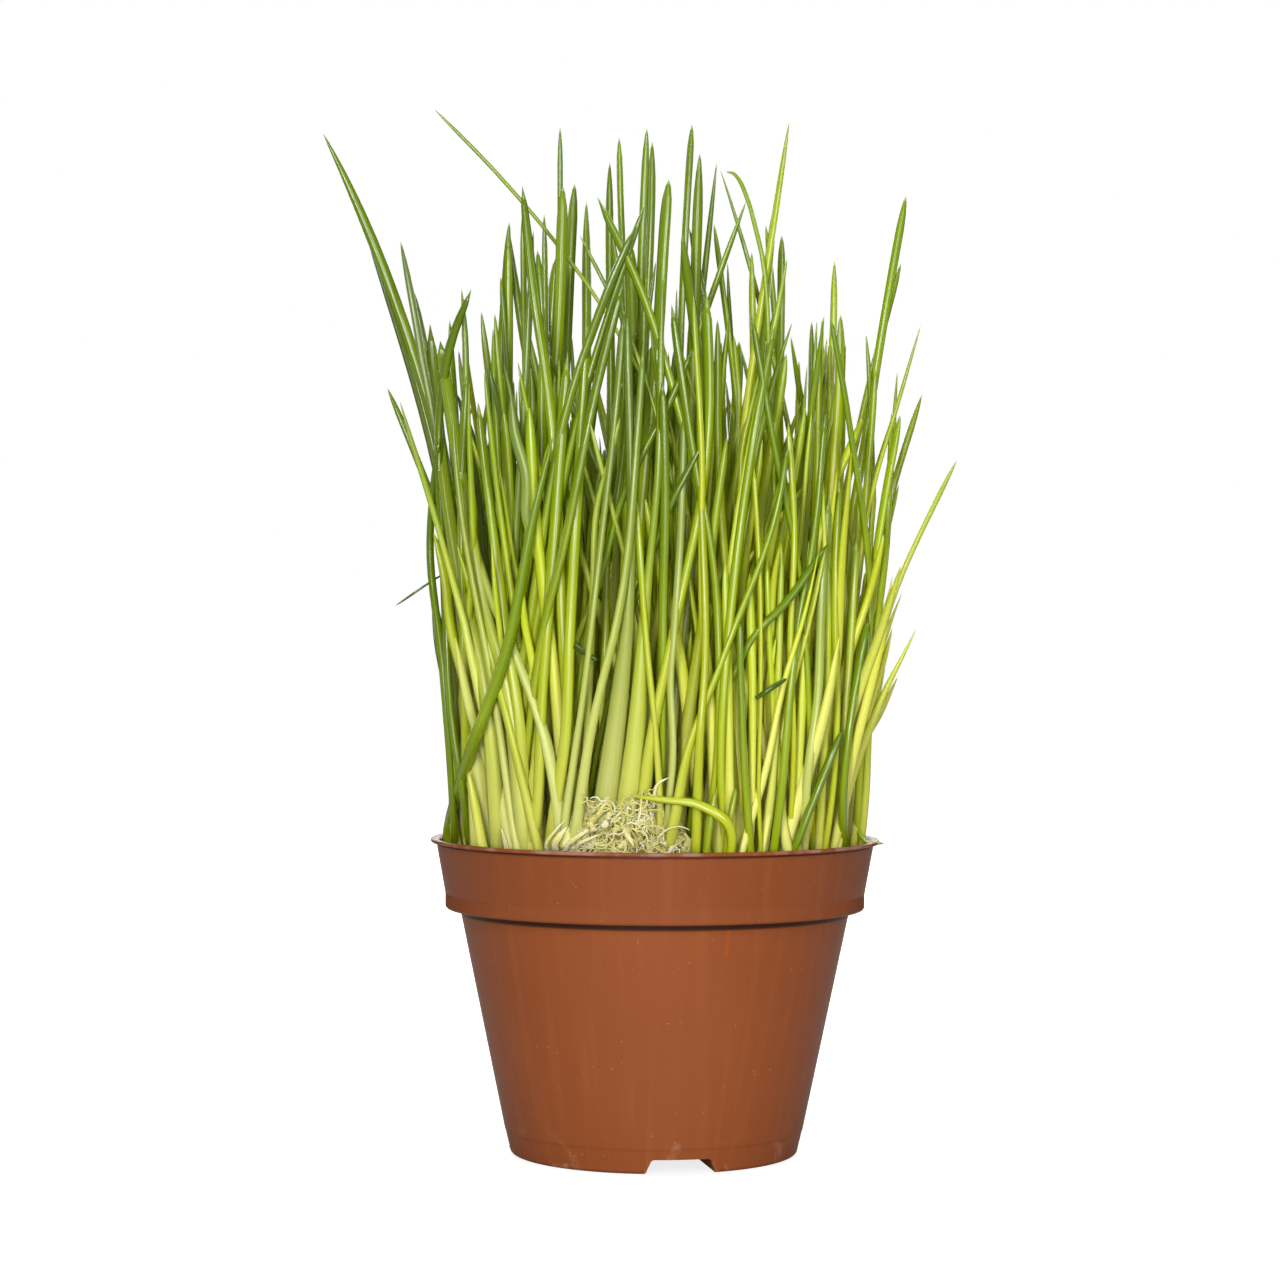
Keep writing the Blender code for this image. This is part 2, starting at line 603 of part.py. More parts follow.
def root_strands():
    """Bare roots that wander down over the heap from its top, each a slow curl round it."""
    draw = np.random.default_rng(SEED)
    heights = [z for z, scale in HEAP_SHAPE]
    scales = [scale for z, scale in HEAP_SHAPE]
    strands = []
    for number in range(ROOT_STRANDS):
        angle = 2.0 * math.pi * (number + draw.uniform(-0.3, 0.3)) / ROOT_STRANDS
        drift = draw.uniform(-1.6, 1.6)
        top = draw.uniform(98.0, 103.5)
        points = []
        for share in np.linspace(0.0, 1.0, ROOT_POINTS):
            z = top + (HEAP_LOW_Z + 2.0 - top) * share
            turn = angle + drift * share + 0.25 * math.sin(9.0 * share + number)
            scale = np.interp(z, heights, scales) + 0.5 * ROOT_RADIUS / HEAP_HALF_WIDTH
            if share in (0.0, 1.0):
                scale -= 0.12
            points.append((HEAP_X + scale * HEAP_HALF_WIDTH * math.cos(turn),
                           HEAP_Y + scale * HEAP_HALF_DEPTH * math.sin(turn), z))
        strands.append(solid("root", *stacked(strand(points, ROOT_RADIUS, 0.0))))
    return strands


def make_chives(places):
    """Each tuft is a base plate with its stalks and leaves, joined as one body; the root heap is another."""
    green = finish("chive_green", (0.17, 0.25, 0.035), 0.42)
    leaves = plan_leaves(places)
    paths = comb(leaves)
    grown = [[] for number in range(len(places) + 1)]
    for leaf, path in zip(leaves, paths):
        grown[leaf["tuft"]].append(blade(leaf, path, leaves))
    for number, (x, y, turn) in enumerate(places):
        rings = [ring(x, y, z, PLATE_RADIUS, PLATE_SIDES, turn) for z in (PLATE_LOW_Z, PLATE_RIM_Z)]
        plate = solid(f"tuft_{number + 1:02d}", *stacked(rings + [[(x, y, PLATE_TOP_Z)]]), green)
        combine(plate, grown[number], "UNION")
    rings = [heap_ring(z, scale) for z, scale in HEAP_SHAPE] + [[(HEAP_X, HEAP_Y, HEAP_TOP_Z)]]
    heap = solid("lifted_clump", *stacked(rings), finish("bare_roots", (0.5, 0.45, 0.26), 0.7))
    loose = solid("loose_leaf", *stacked(strand(LOOSE_LEAF, LOOSE_LEAF_RADIUS, 0.5)))
    combine(heap, grown[-1] + root_strands() + [loose], "UNION")


clear_scene()
make_pot()
tufts = tuft_places()
make_soil(tufts)
make_chives(tufts)
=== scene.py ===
"""Potted chives: the looks of a dense bunch of chives in a stepped plastic nursery pot.

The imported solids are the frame. Every new piece stays where the solid that it replaces stands.
Sizes and places are millimetres, except where a name says otherwise; meshes are turned to metres
when they are made. The front of the pot looks towards -Y.
"""
import json
import math

import bpy
import numpy as np
from mathutils import Matrix, Vector

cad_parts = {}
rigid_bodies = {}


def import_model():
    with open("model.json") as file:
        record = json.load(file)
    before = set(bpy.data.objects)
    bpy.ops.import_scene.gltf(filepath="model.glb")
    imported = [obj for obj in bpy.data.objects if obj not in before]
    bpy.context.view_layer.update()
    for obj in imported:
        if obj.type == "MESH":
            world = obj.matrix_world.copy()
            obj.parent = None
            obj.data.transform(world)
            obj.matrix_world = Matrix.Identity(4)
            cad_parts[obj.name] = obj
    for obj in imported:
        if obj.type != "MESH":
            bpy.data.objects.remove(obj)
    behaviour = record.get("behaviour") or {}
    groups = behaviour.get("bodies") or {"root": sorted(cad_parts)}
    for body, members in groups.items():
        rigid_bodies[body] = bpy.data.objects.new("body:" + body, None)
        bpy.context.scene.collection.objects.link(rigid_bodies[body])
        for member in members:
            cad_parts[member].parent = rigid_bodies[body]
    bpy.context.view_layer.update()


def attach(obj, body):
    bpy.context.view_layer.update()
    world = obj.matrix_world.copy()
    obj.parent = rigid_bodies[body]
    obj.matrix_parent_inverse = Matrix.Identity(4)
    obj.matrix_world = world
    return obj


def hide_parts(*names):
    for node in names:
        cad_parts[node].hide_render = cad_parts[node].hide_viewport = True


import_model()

MM = 0.001


# Studio. A pale seamless table lit by soft boxes in front, above and behind and by a narrow strip on
# each side, seen by a long lens a metre away at half the plant's height, before plain white paper.
EYE = (-4.65, -960.0, 153.3)
FOCAL_PIXELS = 3308.0
FRAME_PIXELS = 1280
SENSOR_WIDTH = 36.0
VIEW_END_METRES = 10.0
TILT_DOWN = 0.0051
ROLL = 0.0047
BUNCH_MIDDLE = (0.0, 0.0, 150.0)
TABLE_HALF = 4000.0
TABLE_DROP = 0.05
ROOM_COLOUR = (1.0, 0.98, 0.94, 1.0)
ROOM_STRENGTH = 0.05
LAMPS = (
    # name, place, width, height, watts
    ("key_strip", (-260.0, -1250.0, 420.0), 120.0, 1100.0, 14.0),
    ("second_box", (420.0, -1150.0, 420.0), 200.0, 700.0, 6.0),
    ("top_box", (0.0, 0.0, 1300.0), 900.0, 900.0, 14.0),
    ("front_box", (0.0, -1500.0, 230.0), 800.0, 500.0, 7.0),
    ("back_box", (0.0, 1300.0, 420.0), 900.0, 700.0, 7.0),
    ("left_rim_strip", (-1000.0, 260.0, 330.0), 36.0, 800.0, 1.5),
    ("right_rim_strip", (1000.0, 260.0, 330.0), 36.0, 800.0, 1.5),
)


def show(data, material=None):
    """Puts an object of the data into the scene, by the data's own name, with a material if one is given."""
    if material:
        data.materials.append(material)
    piece = bpy.data.objects.new(data.name, data)
    bpy.context.scene.collection.objects.link(piece)
    return piece


lens = bpy.data.cameras.new("camera")
lens.sensor_width = SENSOR_WIDTH
lens.lens = FOCAL_PIXELS / FRAME_PIXELS * SENSOR_WIDTH
lens.clip_end = VIEW_END_METRES
camera = show(lens)
camera.location = [MM * c for c in EYE]
level_view = Matrix.Rotation(math.pi / 2 - TILT_DOWN, 3, "X")
camera.rotation_euler = (level_view @ Matrix.Rotation(ROLL, 3, "Z")).to_euler()
bpy.context.scene.camera = camera
bpy.context.scene.view_settings.view_transform = "Standard"


class Channel:
    """One output of a shader node; arithmetic on it adds Math nodes."""

    def __init__(self, finish, socket):
        self.finish = finish
        self.socket = socket

    def math(self, operation, *others):
        """A Math node with this output as its first input."""
        return self.finish.node("Math", {"operation": operation}, dict(enumerate((self, *others))))

    def __add__(self, other):
        return self.math("ADD", other)

    def __sub__(self, other):
        return self.math("SUBTRACT", other)

    def __rsub__(self, other):
        return self.finish.node("Math", {"operation": "SUBTRACT"}, {0: other, 1: self})

    def __mul__(self, other):
        return self.math("MULTIPLY", other)

    __radd__ = __add__
    __rmul__ = __mul__

    def between(self, low, high):
        """0 below low, 1 above high and a smooth step between; the other way round if low is the higher."""
        ends = {"Value": self, "From Min": min(low, high), "From Max": max(low, high)}
        step = self.finish.node("MapRange", {"interpolation_type": "SMOOTHSTEP"}, ends)
        return step if low < high else 1.0 - step


class Finish:
    """A material built round one Principled shader. Plain values go on its own sockets at once."""

    def __init__(self, name, **plain):
        self.material = bpy.data.materials.new(name)
        self.material.use_nodes = True
        self.tree = self.material.node_tree
        self.shader = self.tree.nodes["Principled BSDF"]
        for socket, value in plain.items():
            self.shader.inputs[socket.replace("_", " ")].default_value = value

    def node(self, kind, settings=None, inputs=None, out=0):
        """Any node: its settings, a ramp's stops among them, then the values or links of its sockets."""
        made = self.tree.nodes.new("ShaderNode" + kind)
        for name, value in (settings or {}).items():
            if name == "stops":
                while len(made.color_ramp.elements) < len(value):
                    made.color_ramp.elements.new(0.5)
                for element, (place, colour) in zip(made.color_ramp.elements, value):
                    element.position = place
                    element.color = (*colour, 1.0)
            else:
                setattr(made, name, value)
        for name, value in (inputs or {}).items():
            if isinstance(value, Channel):
                self.tree.links.new(value.socket, made.inputs[name])
            else:
                made.inputs[name].default_value = value
        return Channel(self, made.outputs[out])

    def place(self):
        """Object coordinates, in metres."""
        return self.node("TexCoord", out="Object")

    def noise(self, where, scale, detail=2.0, roughness=0.5, distortion=0.0):
        """Cloudy noise at a place; the scale is in clouds a metre."""
        inputs = {"Vector": where, "Scale": scale, "Detail": detail, "Roughness": roughness}
        return self.node("TexNoise", None, {**inputs, "Distortion": distortion})

    def blend(self, share, first, second, how="MIX"):
        """Mixes two colours, or a colour and a link, by a share from 0 to 1."""
        ends = [one if isinstance(one, Channel) else (*one, 1.0) for one in (first, second)]
        settings = {"data_type": "RGBA", "blend_type": how}
        return self.node("Mix", settings, {0: share, 6: ends[0], 7: ends[1]}, out=2)

    def bump(self, height, depth):
        """Relief of that depth in metres."""
        return self.node("Bump", None, {"Height": height, "Distance": depth, "Strength": 1.0})

    def wear(self, **links):
        """Links the shader's own sockets and gives the finished material."""
        for socket, value in links.items():
            self.tree.links.new(value.socket, self.shader.inputs[socket.replace("_", " ")])
        return self.material


def table_paper():
    """White paper with a faint cloudiness: overexposed in the picture, but its bounce light stays soft."""
    paper = Finish("table_paper", Emission_Strength=1.0)
    cloud = paper.noise(paper.place(), 3.0)
    away = paper.node("VectorMath", {"operation": "LENGTH"}, {0: paper.place()}, out="Value")
    lit = paper.blend(away.between(0.06, 0.45), (0.80, 0.80, 0.80), (1.05, 1.05, 1.05))
    lit = paper.blend(paper.node("LightPath", out="Is Camera Ray"), (0.0, 0.0, 0.0), lit)
    return paper.wear(Base_Color=paper.blend(cloud, (0.34, 0.34, 0.33), (0.38, 0.38, 0.37)),
                      Roughness=cloud * 0.1 + 0.6, Emission_Color=lit)


def soft_box(name, place, width, height, watts):
    """A flat soft light at a place, turned to the middle of the bunch."""
    lamp = bpy.data.lights.new(name, "AREA")
    lamp.shape = "RECTANGLE"
    lamp.size = MM * width
    lamp.size_y = MM * height
    lamp.energy = watts
    box = show(lamp)
    box.location = [MM * c for c in place]
    box.rotation_euler = (Vector(BUNCH_MIDDLE) - Vector(place)).to_track_quat("-Z", "Y").to_euler()
    box.visible_camera = False


corners = [(-1, -1), (1, -1), (1, 1), (-1, 1)]
corners = [(MM * TABLE_HALF * x, MM * TABLE_HALF * y, -MM * TABLE_DROP) for x, y in corners]
table_mesh = bpy.data.meshes.new("table")
table_mesh.from_pydata(corners, [], [(0, 1, 2, 3)])
table = show(table_mesh, table_paper())
for row in LAMPS:
    soft_box(*row)

# The room sends back a dim even light, and the paper behind fills the picture with white.
world = bpy.data.worlds.new("room")
world.use_nodes = True
bpy.context.scene.world = world
room = world.node_tree
room_light = room.nodes["Background"]
room_light.inputs["Color"].default_value = ROOM_COLOUR
room_light.inputs["Strength"].default_value = ROOM_STRENGTH
white_paper = room.nodes.new("ShaderNodeBackground")
white_paper.inputs["Color"].default_value = (1.0, 1.0, 1.0, 1.0)
seen = room.nodes.new("ShaderNodeLightPath")
either = room.nodes.new("ShaderNodeMixShader")
room.links.new(seen.outputs["Is Camera Ray"], either.inputs[0])
room.links.new(room_light.outputs[0], either.inputs[1])
room.links.new(white_paper.outputs[0], either.inputs[2])
room.links.new(either.outputs[0], room.nodes["World Output"].inputs["Surface"])


# Pot. A thin-walled nursery pot, injection moulded in one piece from terracotta-coloured plastic:
# a tapered body, a straight collar that lets pots stack, a flared lip, and three raised channels
# under the floor that end as slots at the foot.
LIP_RADIUS = 65.0
POT_HEIGHT = 91.0
WALL = 0.9
LIP_THICKNESS = 1.1
LIP_INNER_ROUND = 1.0
LIP_GROOVE = 0.45
LIP_GROOVE_DEPTH = 0.55
LIP_GROOVE_EDGE = 0.13
BODY_FOOT_RADIUS = 41.75
BODY_SLOPE = 0.208
FOOT_FILLET = 1.5
FOOT_BAND_Z = 6.9
FOOT_BAND_STEP = 0.12
FOOT_BAND_EDGE = 0.15
COLLAR_Z = 70.8
COLLAR_RADIUS = 60.7
COLLAR_STRAIGHT = 4.2
COLLAR_SLOPE = 0.183
COLLAR_EDGE = 0.9
POT_SIDES = 192
EDGE_LOOP = 0.5
ROW_HEIGHT = 12.0
SHARP_DEGREES = 32.0
SLOT_COUNT = 3
SLOT_TURN = 10.4
SLOT_HEIGHT = 4.2
SLOT_TOP_HALF = 8.75
SLOT_FLARE = 0.45
SLOT_CORNER = 1.2
SLOT_START = 15.0
DRAIN_RADIUS = 4.0
DRAIN_PLACE = 29.0
DRAIN_SIDES = 32


def arc(centre_x, centre_z, radius, start, end, steps):
    """Points on a round corner of a profile: centre plus radius times cosine and sine, angles in degrees."""
    angles = np.radians(np.linspace(start, end, steps + 1))
    return [(centre_x + radius * math.cos(a), centre_z + radius * math.sin(a)) for a in angles]


def body_radius(z):
    """Outer radius of the pot below its collar: a straight taper."""
    return BODY_FOOT_RADIUS + BODY_SLOPE * z


def collar_radius(z):
    """Outer radius of the collar: straight at its foot, then a straight flare."""
    return COLLAR_RADIUS + COLLAR_SLOPE * max(0.0, z - COLLAR_Z - COLLAR_STRAIGHT)


def pot_profile():
    """The wall's section: from the foot up the outside, over the lip and down the inside to the floor."""
    lip_foot = POT_HEIGHT - LIP_THICKNESS
    lip_round = LIP_THICKNESS / 2
    flare = collar_radius(lip_foot)
    straight_z = COLLAR_Z + COLLAR_STRAIGHT
    shelf = COLLAR_Z + WALL
    inner_foot_z = FOOT_FILLET + WALL
    profile = arc(body_radius(0.0) - FOOT_FILLET, FOOT_FILLET, FOOT_FILLET, -90, 0, 6)
    profile += [(body_radius(FOOT_BAND_Z) - FOOT_BAND_STEP, FOOT_BAND_Z)]
    profile += [(body_radius(FOOT_BAND_Z), FOOT_BAND_Z + FOOT_BAND_EDGE), (body_radius(COLLAR_Z), COLLAR_Z)]
    profile += arc(COLLAR_RADIUS - COLLAR_EDGE, COLLAR_Z + COLLAR_EDGE, COLLAR_EDGE, -90, 0, 5)
    profile += [(COLLAR_RADIUS, straight_z), (flare - LIP_GROOVE_EDGE, lip_foot - LIP_GROOVE)]
    profile += [(flare - LIP_GROOVE_DEPTH, lip_foot - LIP_GROOVE), (flare - LIP_GROOVE_DEPTH, lip_foot)]
    profile += arc(LIP_RADIUS - lip_round, POT_HEIGHT - lip_round, lip_round, -90, 90, 8)
    profile += arc(flare - WALL + LIP_INNER_ROUND, POT_HEIGHT - LIP_INNER_ROUND, LIP_INNER_ROUND, 90, 180, 5)
    profile += [(COLLAR_RADIUS - WALL, straight_z), (COLLAR_RADIUS - WALL, shelf)]
    profile += [(body_radius(shelf) - WALL, shelf), (body_radius(inner_foot_z) - WALL, inner_foot_z)]
    profile += [(body_radius(0.0) - WALL - FOOT_FILLET, WALL)]
    return profile


def with_edge_loops(profile):
    """Adds a point close to each end of every long stretch, so smooth shading stays near the corners."""
    points = [profile[0]]
    for (x, z), (next_x, next_z) in zip(profile, profile[1:]):
        length = math.hypot(next_x - x, next_z - z)
        if length > 4.0 * EDGE_LOOP:
            rows = max(1, round(length / ROW_HEIGHT))
            near = EDGE_LOOP / length
            shares = [near, *np.linspace(0.0, 1.0, rows + 1)[1:-1], 1.0 - near]
            points += [(x + share * (next_x - x), z + share * (next_z - z)) for share in shares]
        points.append((next_x, next_z))
    return points


def closed_rings(name, rings):
    """A closed mesh through rings with equal numbers of corners: a grid of (ring, corner) with flat ends."""
    rings = np.asarray(rings, float)
    levels, count = rings.shape[:2]
    first = (np.arange(levels - 1) * count)[:, None]
    low = first + np.arange(count)
    following = first + (np.arange(count) + 1) % count
    walls = np.stack([low, following, following + count, low + count], axis=2).reshape(-1, 4).tolist()
    ends = [list(range(count))[::-1], list(range((levels - 1) * count, levels * count))]
    mesh = bpy.data.meshes.new(name)
    mesh.from_pydata((MM * rings.reshape(-1, 3)).tolist(), [], walls + ends)
    return mesh


def round_steps(count):
    """Equal steps of the angle round a full turn, in radians."""
    return np.linspace(0.0, 2.0 * math.pi, count, endpoint=False)


def unit(angle):
    """Cosine and sine of each angle, side by side on a new last axis."""
    return np.stack([np.cos(angle), np.sin(angle)], axis=-1)


def turned_rings(profile, sides):
    """Rings of a turned body: (radius cos angle, radius sin angle, z) for each point of the profile."""
    radius, z = np.array(profile).T
    flat = radius[:, None, None] * unit(round_steps(sides))
    return np.concatenate([flat, np.broadcast_to(z[:, None, None], (len(z), sides, 1))], axis=2)


def slot_angle(number):
    """The direction in which a drain slot runs out, in radians."""
    return math.radians(SLOT_TURN - 90.0 + number * 360.0 / SLOT_COUNT)


def slot_bar(number, grown, low, start, end):
    """A bar along a radius of the pot with the slot's section: a low arch with round corners, grown."""
    top = SLOT_HEIGHT + grown
    half = SLOT_TOP_HALF + grown
    corner = SLOT_CORNER + grown
    foot = half + SLOT_FLARE * (top - corner - low)
    right = arc(half - corner, top - corner, corner, 0, 90, 6)
    left = [(-x, z) for x, z in reversed(right)]
    outline = [(-foot, low), (foot, low)] + right + left
    cosine, sine = unit(slot_angle(number))
    rings = [[(cosine * out - sine * x, sine * out + cosine * x, z) for x, z in outline]
             for out in (start, end)]
    return closed_rings("bar", rings)


def combine(target, meshes, operation):
    """Joins or cuts the target with meshes in one Boolean on a collection and keeps the result."""
    group = bpy.data.collections.new("joined_parts")
    bpy.context.scene.collection.children.link(group)
    for mesh in meshes:
        group.objects.link(bpy.data.objects.new("tool", mesh))
    joint = target.modifiers.new("join", "BOOLEAN")
    joint.operand_type = "COLLECTION"
    joint.collection = group
    joint.operation = operation
    joint.solver = "EXACT"
    graph = bpy.context.evaluated_depsgraph_get()
    target.data = bpy.data.meshes.new_from_object(target.evaluated_get(graph), depsgraph=graph)
    target.modifiers.remove(joint)
    for tool in list(group.objects):
        bpy.data.objects.remove(tool, do_unlink=True)
    bpy.data.collections.remove(group)


def pot_plastic():
    """Satin terracotta-coloured plastic, one layer of colour over the other.

    Faint clouds and flow lines, pale specks, pale patchy scuffs at the foot and on the lip, and one
    short orange streak. Painted shade: a dark line in the groove under the lip and a dark band under
    the collar's step.
    """
    plastic = Finish("pot_plastic", Specular_IOR_Level=0.14)
    place = plastic.place()
    x, y, height = (plastic.node("SeparateXYZ", None, {0: place}, out=i) for i in range(3))
    angle = y.math("ARCTAN2", x)
    radius = (x * x + y * y).math("SQRT")
    round_map = plastic.node("CombineXYZ", None, {0: angle * 0.055, 1: height, 2: 0.0})
    flow_map = plastic.node("CombineXYZ", None, {0: angle, 1: height * 1.4, 2: 0.0})
    cloud = plastic.noise(place, 26.0, 3.0)
    flow = plastic.noise(flow_map, 14.0, 2.0)
    base = plastic.blend(cloud, (0.206, 0.051, 0.013), (0.232, 0.062, 0.019))
    base = plastic.blend(flow.between(0.45, 0.8) * 0.35, base, (0.275, 0.081, 0.026))
    specks = plastic.noise(place, 700.0, 1.0).between(0.74, 0.80)
    base = plastic.blend(specks * 0.3, base, (0.42, 0.24, 0.16))
    rubbed = plastic.noise(round_map, 75.0, 5.0, 0.6, 0.8)
    foot_scuff = rubbed.between(0.56, 0.72) * height.between(0.013, 0.003)
    base = plastic.blend(foot_scuff * 0.5, base, (0.40, 0.22, 0.15))
    on_lip = height.between(0.0893, 0.0904) * radius.between(0.0634, 0.0642)
    lip_scuff = plastic.noise(round_map, 190.0, 3.0).between(0.42, 0.66) * on_lip
    base = plastic.blend(lip_scuff * 0.45, base, (0.42, 0.26, 0.21))
    # Painted shade: a dark line in the groove under the lip, where the lip's shadow falls.
    painted_lip_shadow = height.between(0.08905, 0.0893) * height.between(0.09005, 0.0899)
    painted_lip_shadow = painted_lip_shadow * radius.between(0.0618, 0.0624)
    base = plastic.blend(painted_lip_shadow * 0.45, base, (0.012, 0.004, 0.002))
    # Everything from the collar up a little darker.
    base = plastic.blend(height.between(0.0700, 0.0716) * 0.12, base, (0.03, 0.008, 0.004))
    # Painted shade: a dark band on the body just under the collar's step and on its underside, where the
    # collar's shadow falls.
    painted_collar_shadow = height.between(0.0687, 0.0695) * height.between(0.0712, 0.0709)
    painted_collar_shadow = painted_collar_shadow * radius.between(0.0598, 0.0593)
    base = plastic.blend(painted_collar_shadow * 0.9, base, (0.014, 0.005, 0.002))
    streak = angle.between(-1.219, -1.207) * angle.between(-1.191, -1.203)
    streak = streak * height.between(0.0605, 0.0625) * height.between(0.0694, 0.0688)
    base = plastic.blend(streak * 0.6, base, (0.30, 0.065, 0.006))
    straight = height.between(0.0714, 0.0718) * height.between(0.0756, 0.0748)
    satin = cloud * 0.08 + foot_scuff * 0.15 + lip_scuff * 0.12 + straight * 0.35 + 0.36
    peel = plastic.noise(place, 420.0, 2.0)
    relief = plastic.bump(peel + foot_scuff * 0.3, 0.00005)
    return plastic.wear(Base_Color=base, Roughness=satin, Normal=relief)


def make_pot():
    """The turned wall joined with the channels' roofs, then cut by the slots and the drain holes."""
    pot = show(closed_rings("nursery_pot", turned_rings(with_edge_loops(pot_profile()), POT_SIDES)))
    numbers = range(SLOT_COUNT)
    roofs = [slot_bar(n, WALL, WALL / 2, SLOT_START - WALL, BODY_FOOT_RADIUS - WALL) for n in numbers]
    combine(pot, roofs, "UNION")
    cuts = [slot_bar(n, 0.0, -1.0, SLOT_START, LIP_RADIUS) for n in numbers]
    drain_profile = [(DRAIN_RADIUS, SLOT_HEIGHT - 1.0), (DRAIN_RADIUS, SLOT_HEIGHT + 2.0)]
    for number in numbers:
        drain = turned_rings(drain_profile, DRAIN_SIDES)
        drain[..., :2] += DRAIN_PLACE * unit(slot_angle(number))
        cuts.append(closed_rings("drain", drain))
    combine(pot, cuts, "DIFFERENCE")
    pot.data.shade_smooth()
    pot.data.set_sharp_from_angle(angle=math.radians(SHARP_DEGREES))
    pot.data.materials.clear()
    pot.data.materials.append(pot_plastic())
    return pot


nursery_pot = make_pot()
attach(nursery_pot, "root")
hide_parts("pot")


# Compost. Moist dark peat and bark fibre, filled in loose to a little under the lip, with a bumpy
# top that loose crumbs lie on.
GAP = 0.3
SOIL_TOP_Z = 83.4
SOIL_LOW_Z = 5.7
SOIL_ROWS = 44
SOIL_SIDES = 132
SOIL_SEED = 5
BUMP_REACH = 62.0
LARGE_BUMPS = (160, 7.0, 0.7)
SMALL_BUMPS = (900, 1.8, 0.45)
HIGHEST_BUMP = 1.0
CRUMBS = 900
CRUMB_SIZE = (0.5, 1.5)
CRUMB_REACH = 60.0
CRUMB_LIFT = 0.35


def peat():
    """Dark crumbly peat: brown and black grains with pale fibres, rough all over."""
    soil = Finish("peat", Specular_IOR_Level=0.3)
    place = soil.place()
    grain = soil.noise(place, 420.0, 4.0, 0.65)
    patch = soil.noise(place, 60.0, 2.0)
    fibre = soil.noise(soil.node("Mapping", None, {0: place, 3: (1.0, 4.5, 1.0)}), 260.0, 2.0)
    base = soil.blend(grain.between(0.3, 0.75), (0.010, 0.006, 0.004), (0.075, 0.043, 0.024))
    base = soil.blend(patch * 0.4, base, (0.03, 0.024, 0.014))
    base = soil.blend(fibre.between(0.66, 0.78) * 0.6, base, (0.20, 0.13, 0.07))
    relief = soil.bump(grain + fibre * 0.5, 0.0008)
    return soil.wear(Base_Color=base, Roughness=grain * 0.25 + 0.7, Normal=relief)


def uneven(x, y, draw, bumps, reach, height):
    """Sum of seeded round bumps: height times exp(-(distance / reach) squared) for each."""
    middle = draw.uniform(-BUMP_REACH, BUMP_REACH, (bumps, 2))
    tall = draw.uniform(-1.0, 1.0, bumps) * height
    far = (x[..., None] - middle[:, 0]) ** 2 + (y[..., None] - middle[:, 1]) ** 2
    return (tall * np.exp(-far / reach ** 2)).sum(-1)


def compost_mesh():
    """Rings from the edge of the flat underside up the side and in over the uneven top to its middle."""
    draw = np.random.default_rng(SOIL_SEED)
    inset = WALL + GAP
    rim = collar_radius(SOIL_TOP_Z) - inset
    side = COLLAR_RADIUS - inset
    shelf = COLLAR_Z + inset
    outline = [(body_radius(SOIL_LOW_Z) - inset, SOIL_LOW_Z), (body_radius(COLLAR_Z) - inset, shelf)]
    outline += [(side, shelf), (side, COLLAR_Z + COLLAR_STRAIGHT)]
    top = slice(len(outline), None)
    outline += [(rim * share, SOIL_TOP_Z) for share in np.linspace(1.0, 0.02, SOIL_ROWS)]
    rings = turned_rings(outline, SOIL_SIDES)
    x, y = rings[top, :, 0], rings[top, :, 1]
    shape = uneven(x, y, draw, *LARGE_BUMPS) + uneven(x, y, draw, *SMALL_BUMPS)
    calmer_at_rim = np.linspace(0.3, 1.0, SOIL_ROWS).clip(0.0, 0.6)[:, None]
    rings[top, :, 2] += np.minimum(shape, HIGHEST_BUMP) * calmer_at_rim
    return closed_rings("compost", rings)


def crumbs_mesh():
    """Small lumps with twelve corners, each pushed in or out by a seeded share, lying on the compost.

    The corners are those of a body with twenty equal triangles: the cyclic turns of (0, 1, golden).
    """
    draw = np.random.default_rng(SOIL_SEED + 1)
    golden = (1.0 + math.sqrt(5.0)) / 2.0
    ends = [(0.0, a, b * golden) for a in (-1.0, 1.0) for b in (-1.0, 1.0)]
    corners = np.array([[p[(k + shift) % 3] for k in range(3)] for shift in range(3) for p in ends])
    corners /= np.linalg.norm(corners[0])
    near = np.linalg.norm(corners[:, None] - corners[None], axis=2) < 1.1
    faces = [(i, j, k) for i in range(12) for j in range(i + 1, 12) for k in range(j + 1, 12)
             if near[i, j] and near[j, k] and near[i, k]]
    outward = [np.linalg.det(corners[list(face)]) for face in faces]
    faces = np.array([face if side > 0 else face[::-1] for face, side in zip(faces, outward)])
    out = CRUMB_REACH * np.sqrt(draw.uniform(0.0, 1.0, CRUMBS))
    turn = draw.uniform(0.0, 2.0 * math.pi, CRUMBS)
    size = draw.uniform(*CRUMB_SIZE, CRUMBS) * draw.uniform(0.4, 1.0, CRUMBS)
    middle = np.stack([out * np.cos(turn), out * np.sin(turn), SOIL_TOP_Z + CRUMB_LIFT * size], axis=1)
    stretch = draw.uniform(0.6, 1.3, (CRUMBS, 1, 3)) * size[:, None, None]
    stretch = stretch * draw.uniform(0.75, 1.15, (CRUMBS, 12, 1))
    points = middle[:, None] + corners[None] * stretch
    numbered = (np.arange(CRUMBS) * 12)[:, None, None] + faces[None]
    mesh = bpy.data.meshes.new("compost_crumbs")
    mesh.from_pydata((MM * points.reshape(-1, 3)).tolist(), [], numbered.reshape(-1, 3).tolist())
    return mesh


dark_peat = peat()
compost = show(compost_mesh(), dark_peat)
compost.data.shade_smooth()
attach(compost, "root")
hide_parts("soil")

crumbs = show(crumbs_mesh(), dark_peat)
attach(crumbs, "root")


# Chives, how they stand. Seed is sown in a pinch at many places, so the stalks come up in tufts.
# Each stalk is a white sheath at its foot and turns into one long hollow leaf, and about half of
# them hold a second, thinner leaf. The rule below plants and combs them as in the solids.
TUFT_RINGS = (
    # radius, number of tufts, first angle and step in degrees
    (0.0, 1, 0.0, 60.0),
    (17.3, 6, -84.0, 60.0),
    (33.6, 12, -98.0, 30.0),
    (50.0, 15, -66.0, 21.0),
)
STALKS_A_TUFT = 5
STALK_OFFSET = 5.15

